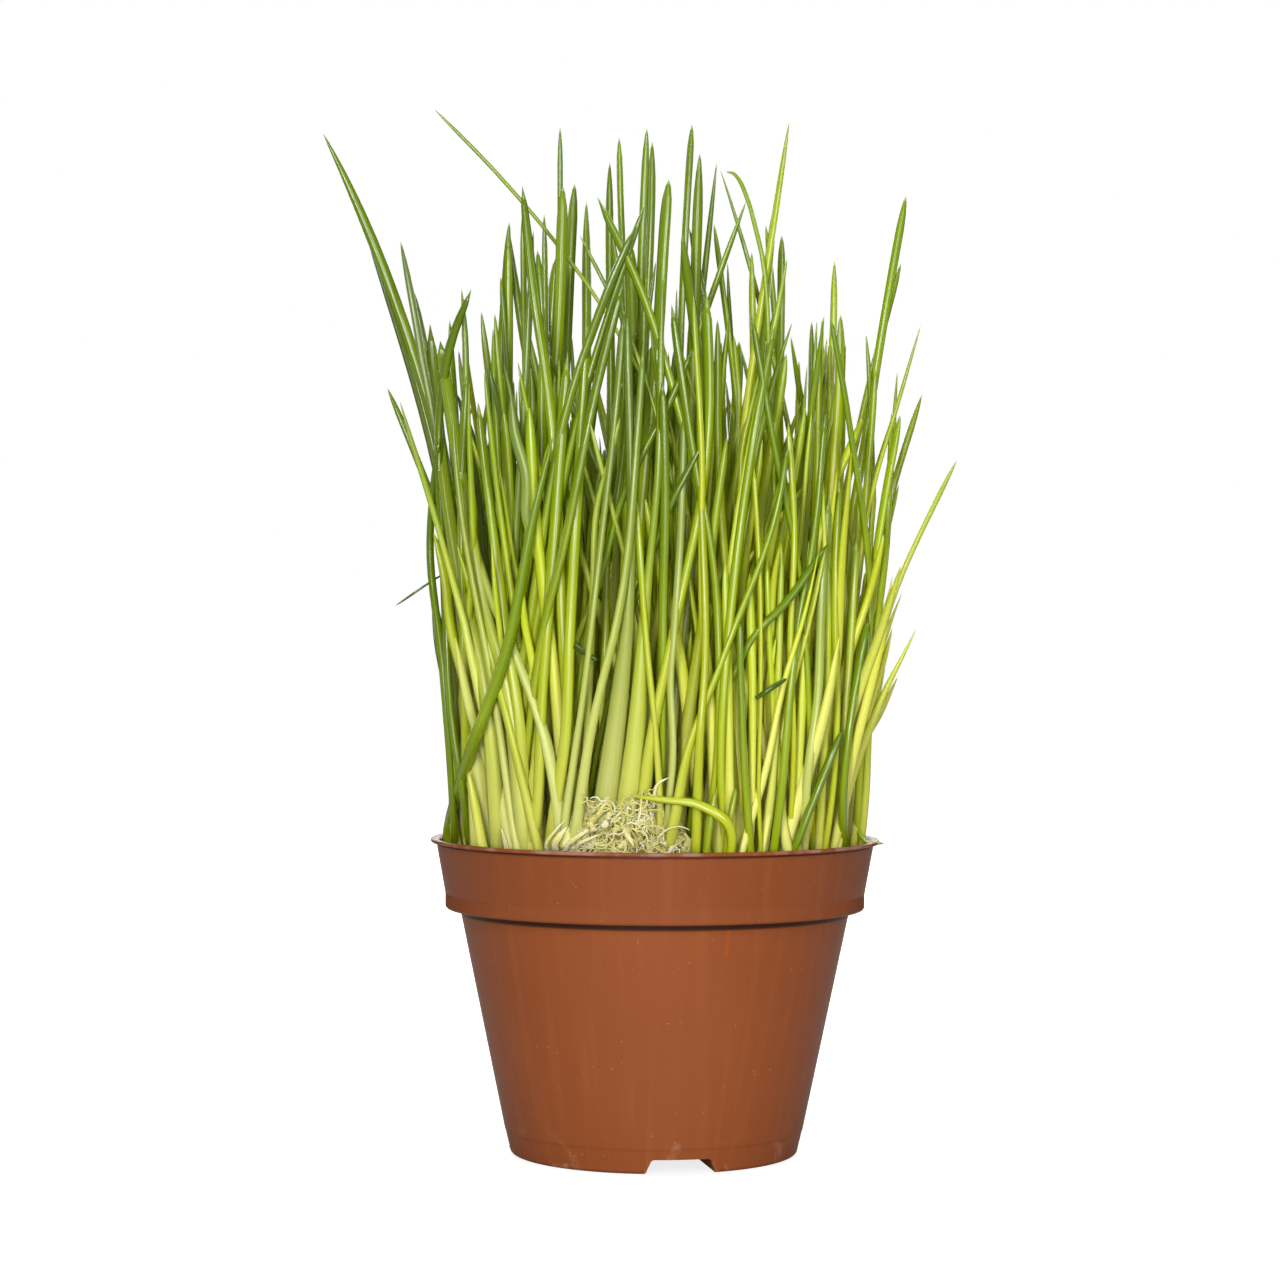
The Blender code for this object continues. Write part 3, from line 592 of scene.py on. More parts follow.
# The root heap, an oval lying at the front, and its stalks: foot x and y, radius, tip x, y and z.
HEAP_X = -9.0
HEAP_Y = -50.5
HEAP_HALF_WIDTH = 18.0
HEAP_HALF_DEPTH = 7.5
HEAP_STALK_FOOT_Z = 90.0
HEAP_STALKS = ((-14.5, -52.0, 4.0, 6, -60, 232), (-5.0, -52.0, 4.2, 17, -62, 247),
               (-21.5, -48.3, 2.5, -27, -56, 226), (-9.5, -45.8, 2.5, -6, -52, 239),
               (1.8, -47.8, 2.6, 11, -55, 221), (6.4, -51.5, 2.3, 22, -62, 204),
               (-25.6, -52.0, 2.3, -36, -63, 212))

# Stalks and their main leaves. Paths are kept at the levels, and leaves shorten to the bunch's edge.
SEED = 11
LEVELS = np.linspace(82.0, 303.0, 10)
LEAF_FOOT_Z = 84.0
STALK_RADIUS = 2.75
STALK_END_Z = 168.0
STALK_FADE = 60.0
LEAF_RADIUS = 1.95
TIP_Z = 222.0
TIP_Z_SPREAD = 25.0
TIP_Z_RANGE = (150.0, 270.0)
EDGE_DROP = 14.0
FAN = 1.13
LEAN = 11.0
SHORTEST_TIP = 7.0
BUNCH_EDGE = 52.5
SLIMMER = 0.2
SLIMMER_FROM = 5.0
SLIMMER_OVER = 20.0

# Side leaves, which split off a stalk at one of the levels.
SIDE_LEAVES = 155
SIDE_RADIUS = 1.7
SIDE_STARTS = (1, 2, 2, 3)
SIDE_SPREAD = (9.0, 22.0)
SIDE_TIP_Z = 197.0
SIDE_TIP_Z_SPREAD = 28.0
SIDE_HIGHEST_Z = 258.0
SIDE_SHORTEST = 34.0

# Combing: room between leaves, steps, how fast a leaf goes to its place and bend, and the limits at
# the lip and at the root heap.
CLEARANCE = 0.4
STEPS = 420
PULL = 0.12
STIFFNESS = 0.25
PAIR_REFRESH = 15
PAIR_REACH = 6.0
RELAX = 1.5
EDGE_RADIUS = 59.5
FRONT_EDGE_RADIUS = 55.5
FRONT_DEPTH = 20.0
FRONT_HALF_WIDTH = 21.6

# Leading leaves, as seen in the plane of the pot's axis: tip x, tip z, then a lower point's x and z,
# how far back the foot and the tip stand, and how strongly the leaf arches outward.
LEADERS = (
    (-97, 295, -65, 220, -12, -16, 2.2), (-87, 274, -68, 212, 8, 14, 2.0),
    (-77, 259, -63, 212, -22, -30, 1.8), (-72, 251, -65, 225, 18, 26, 1.8),
    (-80, 221, -61, 169, -4, -6, 1.8), (-63, 302, -11, 238, -20, -30, 2.5),
    (-56, 250, -58, 220, -28, -34, 1.0), (-60, 241, -60, 204, 14, 22, 1.3),
    (-48, 243, -48, 212, -34, -40, 1.2), (-43, 258, -43, 218, -18, -22, 1.2),
    (-40, 273, -40, 233, 5, 2, 1.2), (-37, 246, -37, 212, -40, -46, 1.0), (-29, 297, -29, 247, 10, 12, 1.1),
    (-27, 280, -28, 247, -28, -34, 1.2), (-24, 274, -25, 247, 30, 36, 1.0),
    (-21, 276, -21, 241, -14, -12, 1.0), (-14, 287, -14, 247, 0, 4, 1.0), (-10, 294, -10, 247, 25, 30, 1.0),
    (-3, 297, -5, 247, -10, -14, 1.3), (-1, 293, -2, 247, 35, 42, 1.0), (3, 282, 1, 247, -34, -40, 1.2),
    (10, 298, 7, 247, 5, 8, 1.5), (12, 289, 10, 247, -24, -30, 1.3), (17, 287, 13, 247, 20, 24, 1.4),
    (19, 284, 30, 261, 10, 4, 2.0), (26, 276, 19, 256, -5, -8, 1.6), (38, 299, 25, 219, -30, -42, 1.8),
    (31, 274, 29, 238, 0, 0, 1.2), (32, 269, 45, 231, 30, 30, 1.5), (36, 266, 35, 230, -18, -22, 1.1),
    (72, 278, 61, 219, -8, -12, 1.8), (71, 257, 64, 231, 16, 24, 1.8), (75, 240, 68, 212, -18, -26, 1.8),
    (76, 220, 66, 152, 5, 8, 1.6), (87, 201, 70, 150, -10, -16, 2.0), (71, 161, 65, 131, 12, 16, 1.5),
    (75, 152, 59, 101, -22, -30, 1.6), (-65, 160, -59, 91, -10, -14, 1.2),
    (-30, 208, -60, 92, -22, -58, 1.2), (52, 253, 50, 218, 15, 20, 1.2), (53, 243, 53, 212, -24, -28, 1.1),
    (44, 241, 44, 212, 30, 36, 1.0), (48, 242, 47, 212, -36, -44, 1.0),
)


def tuft_places():
    """Middle of each tuft and the turn of its stalks, ring by ring from the middle out."""
    places = []
    for radius, count, first, step in TUFT_RINGS:
        for number in range(count):
            angle = math.radians(first + step * number)
            places.append((radius * math.cos(angle), radius * math.sin(angle), angle + 0.4 + 1.1 * number))
    return places


def ramp(value, low, over):
    """0 up to low, 1 from low plus over on, and a straight rise between."""
    return np.clip((value - low) / over, 0.0, 1.0)


def sight(x, z, y):
    """Moves a point judged in the plane of the pot's axis to a depth y, along the line to the eye."""
    share = (y - EYE[1]) / -EYE[1]
    return EYE[0] + (x - EYE[0]) * share, EYE[2] + (z - EYE[2]) * share


def plan_stems(places):
    """The feet of all stalks: five round each tuft, and those that grow out of the root heap."""
    leaves = []
    for tuft, (x, y, turn) in enumerate(places):
        for number in range(STALKS_A_TUFT):
            angle = turn + number * 2.0 * math.pi / STALKS_A_TUFT
            foot = (x + STALK_OFFSET * math.cos(angle), y + STALK_OFFSET * math.sin(angle))
            leaves.append({"tuft": tuft, "start": 0, "foot": foot, "stalk": STALK_RADIUS})
    for x, y, radius, *tip in HEAP_STALKS:
        leaves.append({"tuft": len(places), "start": 1, "foot": (x, y), "stalk": radius, "tip": tip})
    return leaves


def plan_leaves(places):
    """One row a leaf: its tuft, parent leaf, first level, foot, tip, arch, bow and thickness.

    A main leaf continues each stalk. The leading leaves go to the stalks nearest to their own feet.
    Side leaves then split off stalks here and there. All draws are seeded.
    """
    draw = np.random.default_rng(SEED)
    leaves = plan_stems(places)
    stems = len(leaves)
    for number, leaf in enumerate(leaves):
        x, y = leaf["foot"]
        slender = 1.0 - SLIMMER * ramp(x, SLIMMER_FROM, SLIMMER_OVER)
        lean = draw.normal(0.0, LEAN, 2)
        height = TIP_Z + draw.normal(0.0, TIP_Z_SPREAD) - EDGE_DROP * (math.hypot(x, y) / EDGE_RADIUS) ** 2
        leaf["parent"] = number
        leaf.setdefault("tip", (FAN * x + lean[0], FAN * y + lean[1], np.clip(height, *TIP_Z_RANGE)))
        leaf["arch"] = draw.uniform(0.9, 1.8)
        leaf["bow"] = draw.normal(0.0, 3.0, 2)
        leaf["radius"] = slender * LEAF_RADIUS * draw.uniform(0.88, 1.12)
        leaf["stalk"] *= slender * draw.uniform(0.9, 1.05)
    free = [n for n, leaf in enumerate(leaves) if leaf["tuft"] < len(places)]
    for tip_x, tip_z, low_x, low_z, foot_y, tip_y, arch in LEADERS:
        share = ((low_z - LEAF_FOOT_Z) / (tip_z - LEAF_FOOT_Z)) ** arch
        foot_x = (low_x - tip_x * share) / (1.0 - share)
        reach = math.sqrt(BUNCH_EDGE ** 2 - foot_y ** 2)
        foot_x = np.clip(foot_x, -reach, reach)
        nearest = min(free, key=lambda n: math.dist(leaves[n]["foot"], (foot_x, foot_y)))
        free.remove(nearest)
        true_x, true_z = sight(tip_x, tip_z, tip_y)
        leaves[nearest].update(tip=(true_x, tip_y, true_z), arch=arch, bow=np.zeros(2), lead=(tip_x, tip_z))
    for number in draw.permutation(stems)[:SIDE_LEAVES]:
        main = leaves[number]
        start = main["start"] + int(draw.choice(SIDE_STARTS))
        angle = draw.uniform(0.0, 2.0 * math.pi)
        spread = draw.uniform(*SIDE_SPREAD)
        height = SIDE_TIP_Z + draw.normal(0.0, SIDE_TIP_Z_SPREAD)
        x, y = main["foot"]
        tip = (1.1 * x + 0.3 * (x - main["tip"][0]) + spread * math.cos(angle),
               1.1 * y + 0.3 * (y - main["tip"][1]) + spread * math.sin(angle),
               np.clip(height, LEVELS[start] + SIDE_SHORTEST, SIDE_HIGHEST_Z))
        radius = SIDE_RADIUS * draw.uniform(0.85, 1.12) * min(1.0, main["radius"] / LEAF_RADIUS)
        leaves.append({"tuft": main["tuft"], "start": start, "foot": (x, y), "stalk": 0.0, "radius": radius,
                       "parent": int(number), "tip": tip, "arch": 1.0, "bow": draw.normal(0.0, 2.0, 2)})
    for leaf in leaves:
        x, y, z = leaf["tip"]
        beyond = z - LEVELS[np.searchsorted(LEVELS, z) - 1]
        leaf["tip"] = (x, y, z + max(0.0, SHORTEST_TIP - beyond))
    return leaves


def leaf_radius(leaf, z):
    """Half width at a height: a stalk that thins into the leaf, and the leaf's own taper to its tip."""
    foot_z = LEVELS[leaf["start"]]
    share = np.clip((z - foot_z) / (leaf["tip"][2] - foot_z), 0.0, 1.0)
    radius = leaf["radius"] * (1.0 - 0.3 * share) * np.sqrt(1.0 - share ** 5)
    if leaf["stalk"]:
        radius = radius + (leaf["stalk"] - leaf["radius"]) * ramp(-z, -STALK_END_Z, STALK_FADE)
    return radius


def wanted_path(leaf, foot, foot_z):
    """Where a leaf would stand alone: a power curve from its foot to its tip, with a slight bow."""
    share = np.clip((LEVELS - foot_z) / (leaf["tip"][2] - foot_z), 0.0, 1.25)
    foot = np.array(foot)
    bow = np.sin(np.pi * np.clip(share, 0.0, 1.0))
    reach = np.array(leaf["tip"][:2]) - foot
    return foot + reach * share[:, None] ** leaf["arch"] + np.outer(bow, leaf["bow"])


def offsets(place, thick, level, a, b):
    """For pairs in one stretch: the shortest offset, how far up it lies, and how much room is missing.

    Between two levels both leaves are straight, so their offset is a straight line too, and the
    point of it that is nearest to zero says where they are closest.
    """
    bottom = place[a, level] - place[b, level]
    change = place[a, level + 1] - place[b, level + 1] - bottom
    share = np.clip(-(bottom * change).sum(1) / np.maximum((change ** 2).sum(1), 1e-9), 0.0, 1.0)
    apart = bottom + share[:, None] * change
    distance = np.maximum(np.hypot(apart[:, 0], apart[:, 1]), 1e-6)
    short = thick[a, level] + thick[b, level] + CLEARANCE - distance
    return apart / distance[:, None], share, short


def close_pairs(place, thick, lives, start, parent):
    """For each stretch between two levels, the pairs of leaves that are near enough to meet there.

    A side leaf and its parent aren't a pair in the stretch where they part.
    """
    low, high = np.triu_indices(len(place), 1)
    kin = parent[low] == parent[high]
    parting = np.maximum(start[low], start[high])
    pairs = []
    for level in range(len(LEVELS) - 1):
        both = lives[low, level] & lives[high, level] & ~(kin & (parting == level))
        a = low[both]
        b = high[both]
        near = offsets(place, thick, level, a, b)[2] > -PAIR_REACH
        pairs.append((a[near], b[near]))
    return pairs


def push_apart(place, thick, pairs):
    """Moves each pair that is too close apart, half each way, shared between the two nearest levels."""
    push = np.zeros_like(place)
    hits = np.zeros(place.shape[:2])
    for level, (a, b) in enumerate(pairs):
        way, share, short = offsets(place, thick, level, a, b)
        hit = short > 0.0
        share = share[hit]
        way = way[hit] * (0.5 * short[hit] / ((1.0 - share) ** 2 + share ** 2))[:, None]
        for at, part in ((level, 1.0 - share), (level + 1, share)):
            for who, sign in ((a[hit], 1.0), (b[hit], -1.0)):
                np.add.at(push, (who, at), sign * way * part[:, None])
                np.add.at(hits, (who, at), part > 0.0)
    place += RELAX * push / np.maximum(hits, 1.0)[:, :, None]


def keep_inside(place, thick, rooted):
    """Holds the foot of the bunch inside the lip, and off the root heap at the front."""
    first = place[:, 1]
    outward = np.hypot(first[:, 0], first[:, 1])
    front = (first[:, 1] < HEAP_Y + FRONT_DEPTH) & (np.abs(first[:, 0] - HEAP_X) < FRONT_HALF_WIDTH)
    edge = np.where(front, FRONT_EDGE_RADIUS, EDGE_RADIUS)
    over = rooted & (outward > edge)
    place[over, 1] *= (edge[over] / outward[over])[:, None]
    reach = HEAP_HALF_WIDTH - HEAP_HALF_DEPTH
    need = HEAP_HALF_DEPTH + 2.0 * GAP + CLEARANCE + thick[:, 0]
    for shift in np.linspace(-reach, reach, 5):
        for level in (0, 1):
            away = place[:, level] - np.array((HEAP_X + shift, HEAP_Y))
            distance = np.hypot(away[:, 0], away[:, 1])
            inside = rooted & (distance < need)
            place[inside, level] += away[inside] * (need / distance - 1.0)[inside, None]


def comb(leaves, settled=None):
    """Moves the leaves sideways at the levels until no two touch, and gives each leaf's points there.

    In every step a point goes a little towards its wanted place and its wanted bend, less and less as
    the steps go on, then leaves that are too close are pushed apart. Feet stay where they are, and a
    side leaf starts in the middle of its parent. The first leaves stay at settled places, if given.
    """
    start = np.array([leaf["start"] for leaf in leaves])
    parent = np.array([leaf["parent"] for leaf in leaves])
    tip_z = np.array([leaf["tip"][2] for leaf in leaves])
    side = parent != np.arange(len(leaves))
    stem = ~side
    wanted = np.array([wanted_path(leaf, leaf["foot"], LEVELS[leaf["start"]]) for leaf in leaves])
    for number in np.nonzero(side)[0]:
        fork = wanted[parent[number], start[number]]
        wanted[number] = wanted_path(leaves[number], fork, LEVELS[start[number]])
    held = slice(0, 0)
    if settled is not None:
        held = slice(0, len(settled))
        wanted[held] = settled
    radii = np.array([leaf_radius(leaf, LEVELS) for leaf in leaves])
    thick = np.maximum(radii[:, :-1], radii[:, 1:])
    lives = (LEVELS[None, :-1] < tip_z[:, None]) & (np.arange(len(LEVELS) - 1)[None, :] >= start[:, None])
    wish = wanted[:, :-2] - 2.0 * wanted[:, 1:-1] + wanted[:, 2:]
    place = wanted.copy()

    def hold_feet():
        """Puts each stalk's foot back where it is planted and each side leaf's on its parent."""
        place[stem, start[stem]] = wanted[stem, start[stem]]
        place[side, start[side]] = place[parent[side], start[side]]

    for step in range(STEPS):
        place += PULL * max(0.0, 1.0 - 1.25 * step / STEPS) * (wanted - place)
        bend = place[:, :-2] - 2.0 * place[:, 1:-1] + place[:, 2:]
        place[:, 1:-1] += STIFFNESS * max(0.0, 1.0 - 1.1 * step / STEPS) * (bend - wish)
        hold_feet()
        if step % PAIR_REFRESH == 0:
            pairs = close_pairs(place, thick, lives, start, parent)
        push_apart(place, thick, pairs)
        keep_inside(place, thick, start == 0)
        hold_feet()
        place[held] = wanted[held]
    return place


places = tuft_places()
leaves = plan_leaves(places)
settled = comb(leaves)


# Young leaves. Thin leaves and shoots that the solids leave out stand between the stalks of every
# tuft. They are planted by another seeded draw and combed among the settled leaves.
YOUNG_A_TUFT = 10
YOUNG_RADIUS = 1.3
YOUNG_TIP_Z = 180.0
YOUNG_TIP_Z_SPREAD = 32.0
YOUNG_Z_RANGE = (118.0, 238.0)
YOUNG_LEAN = 20.0
YOUNG_REACH = ((-57.0, -58.0), (68.0, 60.0))
YOUNG_EDGE = 2.0
YOUNG_LEFT_END = -60.0
INNER_RING = (0.85, 1.05)
OUTER_RING = (1.35, 1.6)


def plan_young(places):
    """Rows like those of the other leaves: feet in the gaps of each tuft, tips spread round its fan."""
    draw = np.random.default_rng(SEED + 1)
    young = []
    for tuft, (x, y, turn) in enumerate(places):
        for number in range(YOUNG_A_TUFT):
            angle = turn + (number + 0.5) * 2.0 * math.pi / STALKS_A_TUFT + draw.normal(0.0, 0.12)
            out = STALK_OFFSET * draw.uniform(*(INNER_RING if number < STALKS_A_TUFT else OUTER_RING))
            foot = np.array((x + out * math.cos(angle), y + out * math.sin(angle)))
            foot *= min(1.0, (EDGE_RADIUS - YOUNG_EDGE) / np.hypot(*foot))
            height = YOUNG_TIP_Z + draw.normal(0.0, YOUNG_TIP_Z_SPREAD)
            tip = np.clip(FAN * foot + draw.normal(0.0, YOUNG_LEAN, 2), *YOUNG_REACH)
            size = YOUNG_RADIUS * draw.uniform(0.75, 1.2)
            young.append({"tuft": tuft, "start": 0, "foot": tuple(foot), "stalk": 1.25 * size,
                          "radius": size, "arch": draw.uniform(0.9, 1.6), "bow": draw.normal(0.0, 3.0, 2),
                          "tip": (*tip, np.clip(height, *YOUNG_Z_RANGE))})
    return young


young_leaves = plan_young(places)
for number, leaf in enumerate(young_leaves):
    leaf["parent"] = len(leaves) + number
all_leaves = leaves + young_leaves
paths = comb(all_leaves, settled)
paths[len(leaves):, :, 0] = np.maximum(paths[len(leaves):, :, 0], YOUNG_LEFT_END)


# Front of the bunch. Its outer leaves stand in a round barrel, wider above than at the rim. What is
# seen in the photo as flat is laid on that barrel, first the two thick stalks of the lifted clump.
FRONT_ROUND = ((82.0, 56.0), (92.0, 58.8), (102.0, 63.5), (118.0, 67.0), (150.0, 69.0), (200.0, 70.0),
               (310.0, 70.0))
LEAST_DEPTH = 4.0
HEAP_WAYS = (
    ((-14.4, 84.0), (-13.8, 103.0), (-9.6, 132.0), (-6.6, 160.0), (-7.0, 189.0), (-9.0, 240.0),
     (-10.0, 306.0)),
    ((-6.0, 84.0), (-7.8, 103.0), (-4.3, 132.0), (-0.8, 160.0), (-0.6, 189.0), (2.0, 240.0), (4.0, 306.0)),
)
HEAP_INSETS = (5.0, 9.0, 6.0, 2.5, 2.0, 2.0, 2.0)


def on_front(seen, inset):
    """True points for points (x, z) seen in the plane of the pot's axis: on the barrel, or so far inside.

    The barrel's radius follows the height. Two rounds settle the depth, because the true x depends
    on it. The inset is one number, or one for each point.
    """
    x, z = np.array(seen, float).T
    y = np.zeros(len(x))
    for turn in range(2):
        true_x, true_z = sight(x, z, y)
        radius = np.interp(true_z, *np.array(FRONT_ROUND).T) - inset
        y = -np.sqrt(np.maximum(radius ** 2 - true_x ** 2, LEAST_DEPTH ** 2))
    true_x, true_z = sight(x, z, y)
    return np.stack([true_x, y, true_z], axis=1)


heap_feet = [number for number, leaf in enumerate(leaves) if leaf["tuft"] == len(places) and leaf["stalk"]]
for number, way in zip(heap_feet, HEAP_WAYS):
    shown = on_front(way, np.array(HEAP_INSETS))
    paths[number] = np.stack([np.interp(LEVELS, shown[:, 2], shown[:, axis]) for axis in (0, 1)], axis=1)


# Leaves, their shape and surface. Each is a soft hollow tube, round in the sheath and flattened or
# grooved on one side above, that tapers to a point. The foot is cream, the middle yellow green and
# the top deep green with a waxy bloom. Fine veins run all the way up.
LEAF_RINGS = 22
LEAF_SIDES = 8
RING_CROWDING = 1.5
LEAF_SINK_Z = 80.0
LEAF_TAPER = 0.2
STRAIGHTENINGS = 4
FORK_DEPTH = 13.0
FORK_LENGTH = 17.0
FORK_WIDTH = 0.25
TIP_LENGTH = (9.0, 38.0)
BLADE_WIDTH = 0.84
BLADE_SPREAD = (0.62, 1.26)
SHEATH_WIDTH = 0.84
GROOVE_HALF_ANGLE = 0.55
GROOVE_DEPTH = (0.04, 0.26)
SQUASH = (0.0, 0.16)
TWIST = 1.3

# The ends bend to one side from some share of the length on: a few strongly, the others a little,
# and less for leading leaves and at the front and back, where the solids leave less room.
BEND_FROM = (0.5, 0.95)
BENT_SHARE = 0.4
STRONG_BEND = 0.24
SLIGHT_BEND = 0.08
LEADING_BEND = 0.3
OUTER_BEND = 0.15
OUTER_Y = 55.0
WAVES = (4.0, 11.0)

# Colours, leaf by leaf: middle value and spread. A shift is how many millimetres lower the green
# begins. Towards the right the leaves are paler and yellower, and lighter by painted light that makes
# up for the weaker light on that side; at the far left a few are green from low down.
GREEN_SHIFT_SPREAD = 12.0
RIGHT_SHIFT = 12.0
SIDE_SHIFT = 12.0
FAR_LEFT_SHIFT = 45.0
HUE = (0.42, 0.22)
RIGHT_HUE = 0.28
LIGHT = (0.98, 0.13)
RIGHT_PAINTED_LIGHT = 0.15
LIGHT_RANGE = (0.74, 1.18)
RIGHT_X = 8.0
PALE_HEIGHTS = (84.0, 104.0, 128.0, 152.0, 176.0, 204.0, 238.0, 300.0)
PALE_SHARES = (1.0, 0.93, 0.82, 0.66, 0.50, 0.34, 0.22, 0.12)

# Leaves with looks of their own, by their place among the leading ones: how wide they are, how many
# millimetres lower their green begins, their hue and their lightness.
OWN_LOOKS = {
    (38, 299): (1.15, -75.0, 0.80, 1.15),
    (-63, 302): (0.55, -35.0, 0.75, 1.05),
    (-97, 295): (1.0, 20.0, 0.60, 0.95),
    (-65, 160): (1.0, 80.0, 0.55, 0.9),
    (-80, 221): (0.8, 60.0, 0.5, 0.9),
}


def smooth_points(path, at):
    """Points of a Catmull-Rom curve through the path's points; at is 0 at the first, 1 at the next.

    Between two points it is the cubic that passes both and has there the mean slope of the
    stretches on each side. Before the first point the curve runs straight on.
    """
    known = np.concatenate([2.0 * path[:1] - path[1:2], path, 2.0 * path[-1:] - path[-2:-1]])
    low = np.clip(np.floor(at).astype(int), 0, len(known) - 4)
    t = (at - low)[:, None]
    a, b, c, d = (known[low + shift] for shift in range(4))
    curve = 0.5 * (2.0 * b + (c - a) * t + (2.0 * a - 5.0 * b + 4.0 * c - d) * t ** 2
                   + (3.0 * b - a - 3.0 * c + d) * t ** 3)
    return np.where(t < 0.0, b + t * (c - b), curve)


def tubes(centres, radii, sections, turns, reference):
    """Corners of many tubes at once, from arrays of (tube, ring): centre, radius and turn.

    Each ring stands square to the path. A corner is the centre plus the radius times the section's
    two numbers along two directions across the path, which are turned by the ring's turn.
    """
    along = np.gradient(centres, axis=1)
    along /= np.linalg.norm(along, axis=2, keepdims=True)
    across = reference - (along * reference).sum(2, keepdims=True) * along
    across /= np.linalg.norm(across, axis=2, keepdims=True)
    third = np.cross(along, across)
    cosine = np.cos(turns)[..., None]
    sine = np.sin(turns)[..., None]
    first = cosine * across + sine * third
    second = cosine * third - sine * across
    reach = radii[..., None, None] * sections
    return centres[:, :, None] + reach[..., :1] * first[:, :, None] + reach[..., 1:] * second[:, :, None]


def grown_mesh(name, centres, radii, sections, turns, lengths, traits, reference=(1.0, 0.0, 0.0)):
    """One closed mesh of many tubes: quads between rings, and a fan to the foot point and the tip point.

    Where a row of centres holds one more than the radii, that one is the tip point. The UV map holds
    the share round the tube and the length along it in centimetres. Every trait is an attribute
    with one value for each ring of each tube.
    """
    count, rings = radii.shape
    corners = tubes(centres[:, :rings], radii, sections, turns, np.array(reference))
    points = np.concatenate([corners.reshape(count, -1, 3), centres[:, :1], centres[:, -1:]], axis=1)
    sides = corners.shape[2]
    side = np.arange(sides)
    following = (side + 1) % sides
    low = (np.arange(rings - 1) * sides)[:, None]
    walls = np.stack([low + side, low + following, low + following + sides, low + side + sides], axis=2)
    top = (rings - 1) * sides
    tip_fan = np.stack([top + side, top + following, np.full(sides, rings * sides + 1)], axis=1)
    foot_fan = np.stack([following, side, np.full(sides, rings * sides)], axis=1)
    shift = (np.arange(count) * (rings * sides + 2))[:, None, None]
    quads = (shift + walls.reshape(1, -1, 4)).reshape(-1, 4)
    fans = (shift + np.concatenate([tip_fan, foot_fan])[None]).reshape(-1, 3)
    mesh = bpy.data.meshes.new(name)
    mesh.from_pydata((MM * points.reshape(-1, 3)).tolist(), [], quads.tolist() + fans.tolist())
    centimetres = 0.1 * np.broadcast_to(lengths, radii.shape)[:, :, None]
    left = np.broadcast_to(side / sides, (count, rings - 1, sides))
    right = left + 1.0 / sides
    below = np.broadcast_to(centimetres[:, :-1], left.shape)
    above = np.broadcast_to(centimetres[:, 1:], left.shape)
    wall_map = np.stack([left, below, right, below, right, above, left, above], axis=3).reshape(-1)
    ends = np.stack([side / sides, (side + 1.0) / sides, (side + 0.5) / sides], axis=1)
    ends = np.broadcast_to(np.concatenate([ends, ends[:, [1, 0, 2]]])[None], (count, 2 * sides, 3))
    high_and_deep = [np.broadcast_to(centimetres[:, [end]], (count, sides, 3)) for end in (-1, 0)]
    fan_map = np.stack([ends, np.concatenate(high_and_deep, axis=1)], axis=3).reshape(-1)
    mesh.uv_layers.new(name="UVMap").data.foreach_set("uv", np.concatenate([wall_map, fan_map]))
    for trait, values in traits.items():
        values = np.broadcast_to(values, radii.shape)
        spread = np.concatenate([np.repeat(values, sides, axis=1), values[:, :1], values[:, -1:]], axis=1)
        mesh.attributes.new(trait, "FLOAT", "POINT").data.foreach_set("value", spread.reshape(-1))
    mesh.shade_smooth()
    return mesh


def chive_skin():
    """Leaf skin: cream to deep green by its paleness, tinted leaf by leaf, with veins and a waxy bloom.

    A high hue turns the colour to gold and a low one to grey, and light multiplies it: each leaf's
    lightness, raised towards the right as painted light.
    """
    skin = Finish("chive_skin", Specular_IOR_Level=0.5, Subsurface_Weight=0.15, Subsurface_Scale=0.002)
    skin.shader.inputs["Subsurface Radius"].default_value = (0.8, 1.0, 0.15)
    traits = ("pale", "hue", "light")
    pale, hue, light = (skin.node("Attribute", {"attribute_name": trait}, out="Fac") for trait in traits)
    around = skin.node("UVMap")
    u, v = (skin.node("SeparateXYZ", None, {0: around}, out=i) for i in range(2))
    cloud = skin.noise(skin.place(), 55.0, 2.0)
    stripe = skin.noise(skin.node("CombineXYZ", None, {0: u * 16.0, 1: v * 0.16, 2: hue * 40.0}), 1.0, 2.0)
    stops = [(0.0, (0.068, 0.128, 0.002)), (0.18, (0.142, 0.218, 0.001)), (0.34, (0.236, 0.315, 0.001)),
             (0.50, (0.365, 0.425, 0.006)), (0.66, (0.475, 0.49, 0.055)), (0.80, (0.56, 0.55, 0.14)),
             (1.0, (0.62, 0.57, 0.26))]
    level = pale + (cloud - 0.5) * 0.12 + (stripe - 0.5) * 0.12
    base = skin.node("ValToRGB", {"stops": stops}, {0: level * 0.8})
    gold = skin.blend(pale.between(0.3, 0.9), (0.35, 0.37, 0.002), (0.46, 0.465, 0.03))
    yellow = skin.blend(hue.between(0.62, 1.0) * pale.between(0.18, 0.48) * 0.6, base, gold)
    grey = skin.blend(pale.between(0.3, 0.9), (0.085, 0.130, 0.034), (0.40, 0.44, 0.16))
    tint = skin.blend(hue.between(0.34, 0.0) * 0.6, yellow, grey)
    veins = (u * 100.53).math("SINE")
    lit = skin.blend(1.0, tint, skin.node("CombineXYZ", None, {0: light, 1: light, 2: light}), "MULTIPLY")
    fine = skin.blend(veins.between(0.1, 1.0) * pale * 0.12, lit, (0.55, 0.55, 0.20))
    gloss = stripe * 0.16 + pale * 0.26 + 0.09
    relief = skin.bump(veins * 0.12 + stripe, 0.00004)
    return skin.wear(Base_Color=fine, Roughness=gloss, Normal=relief)


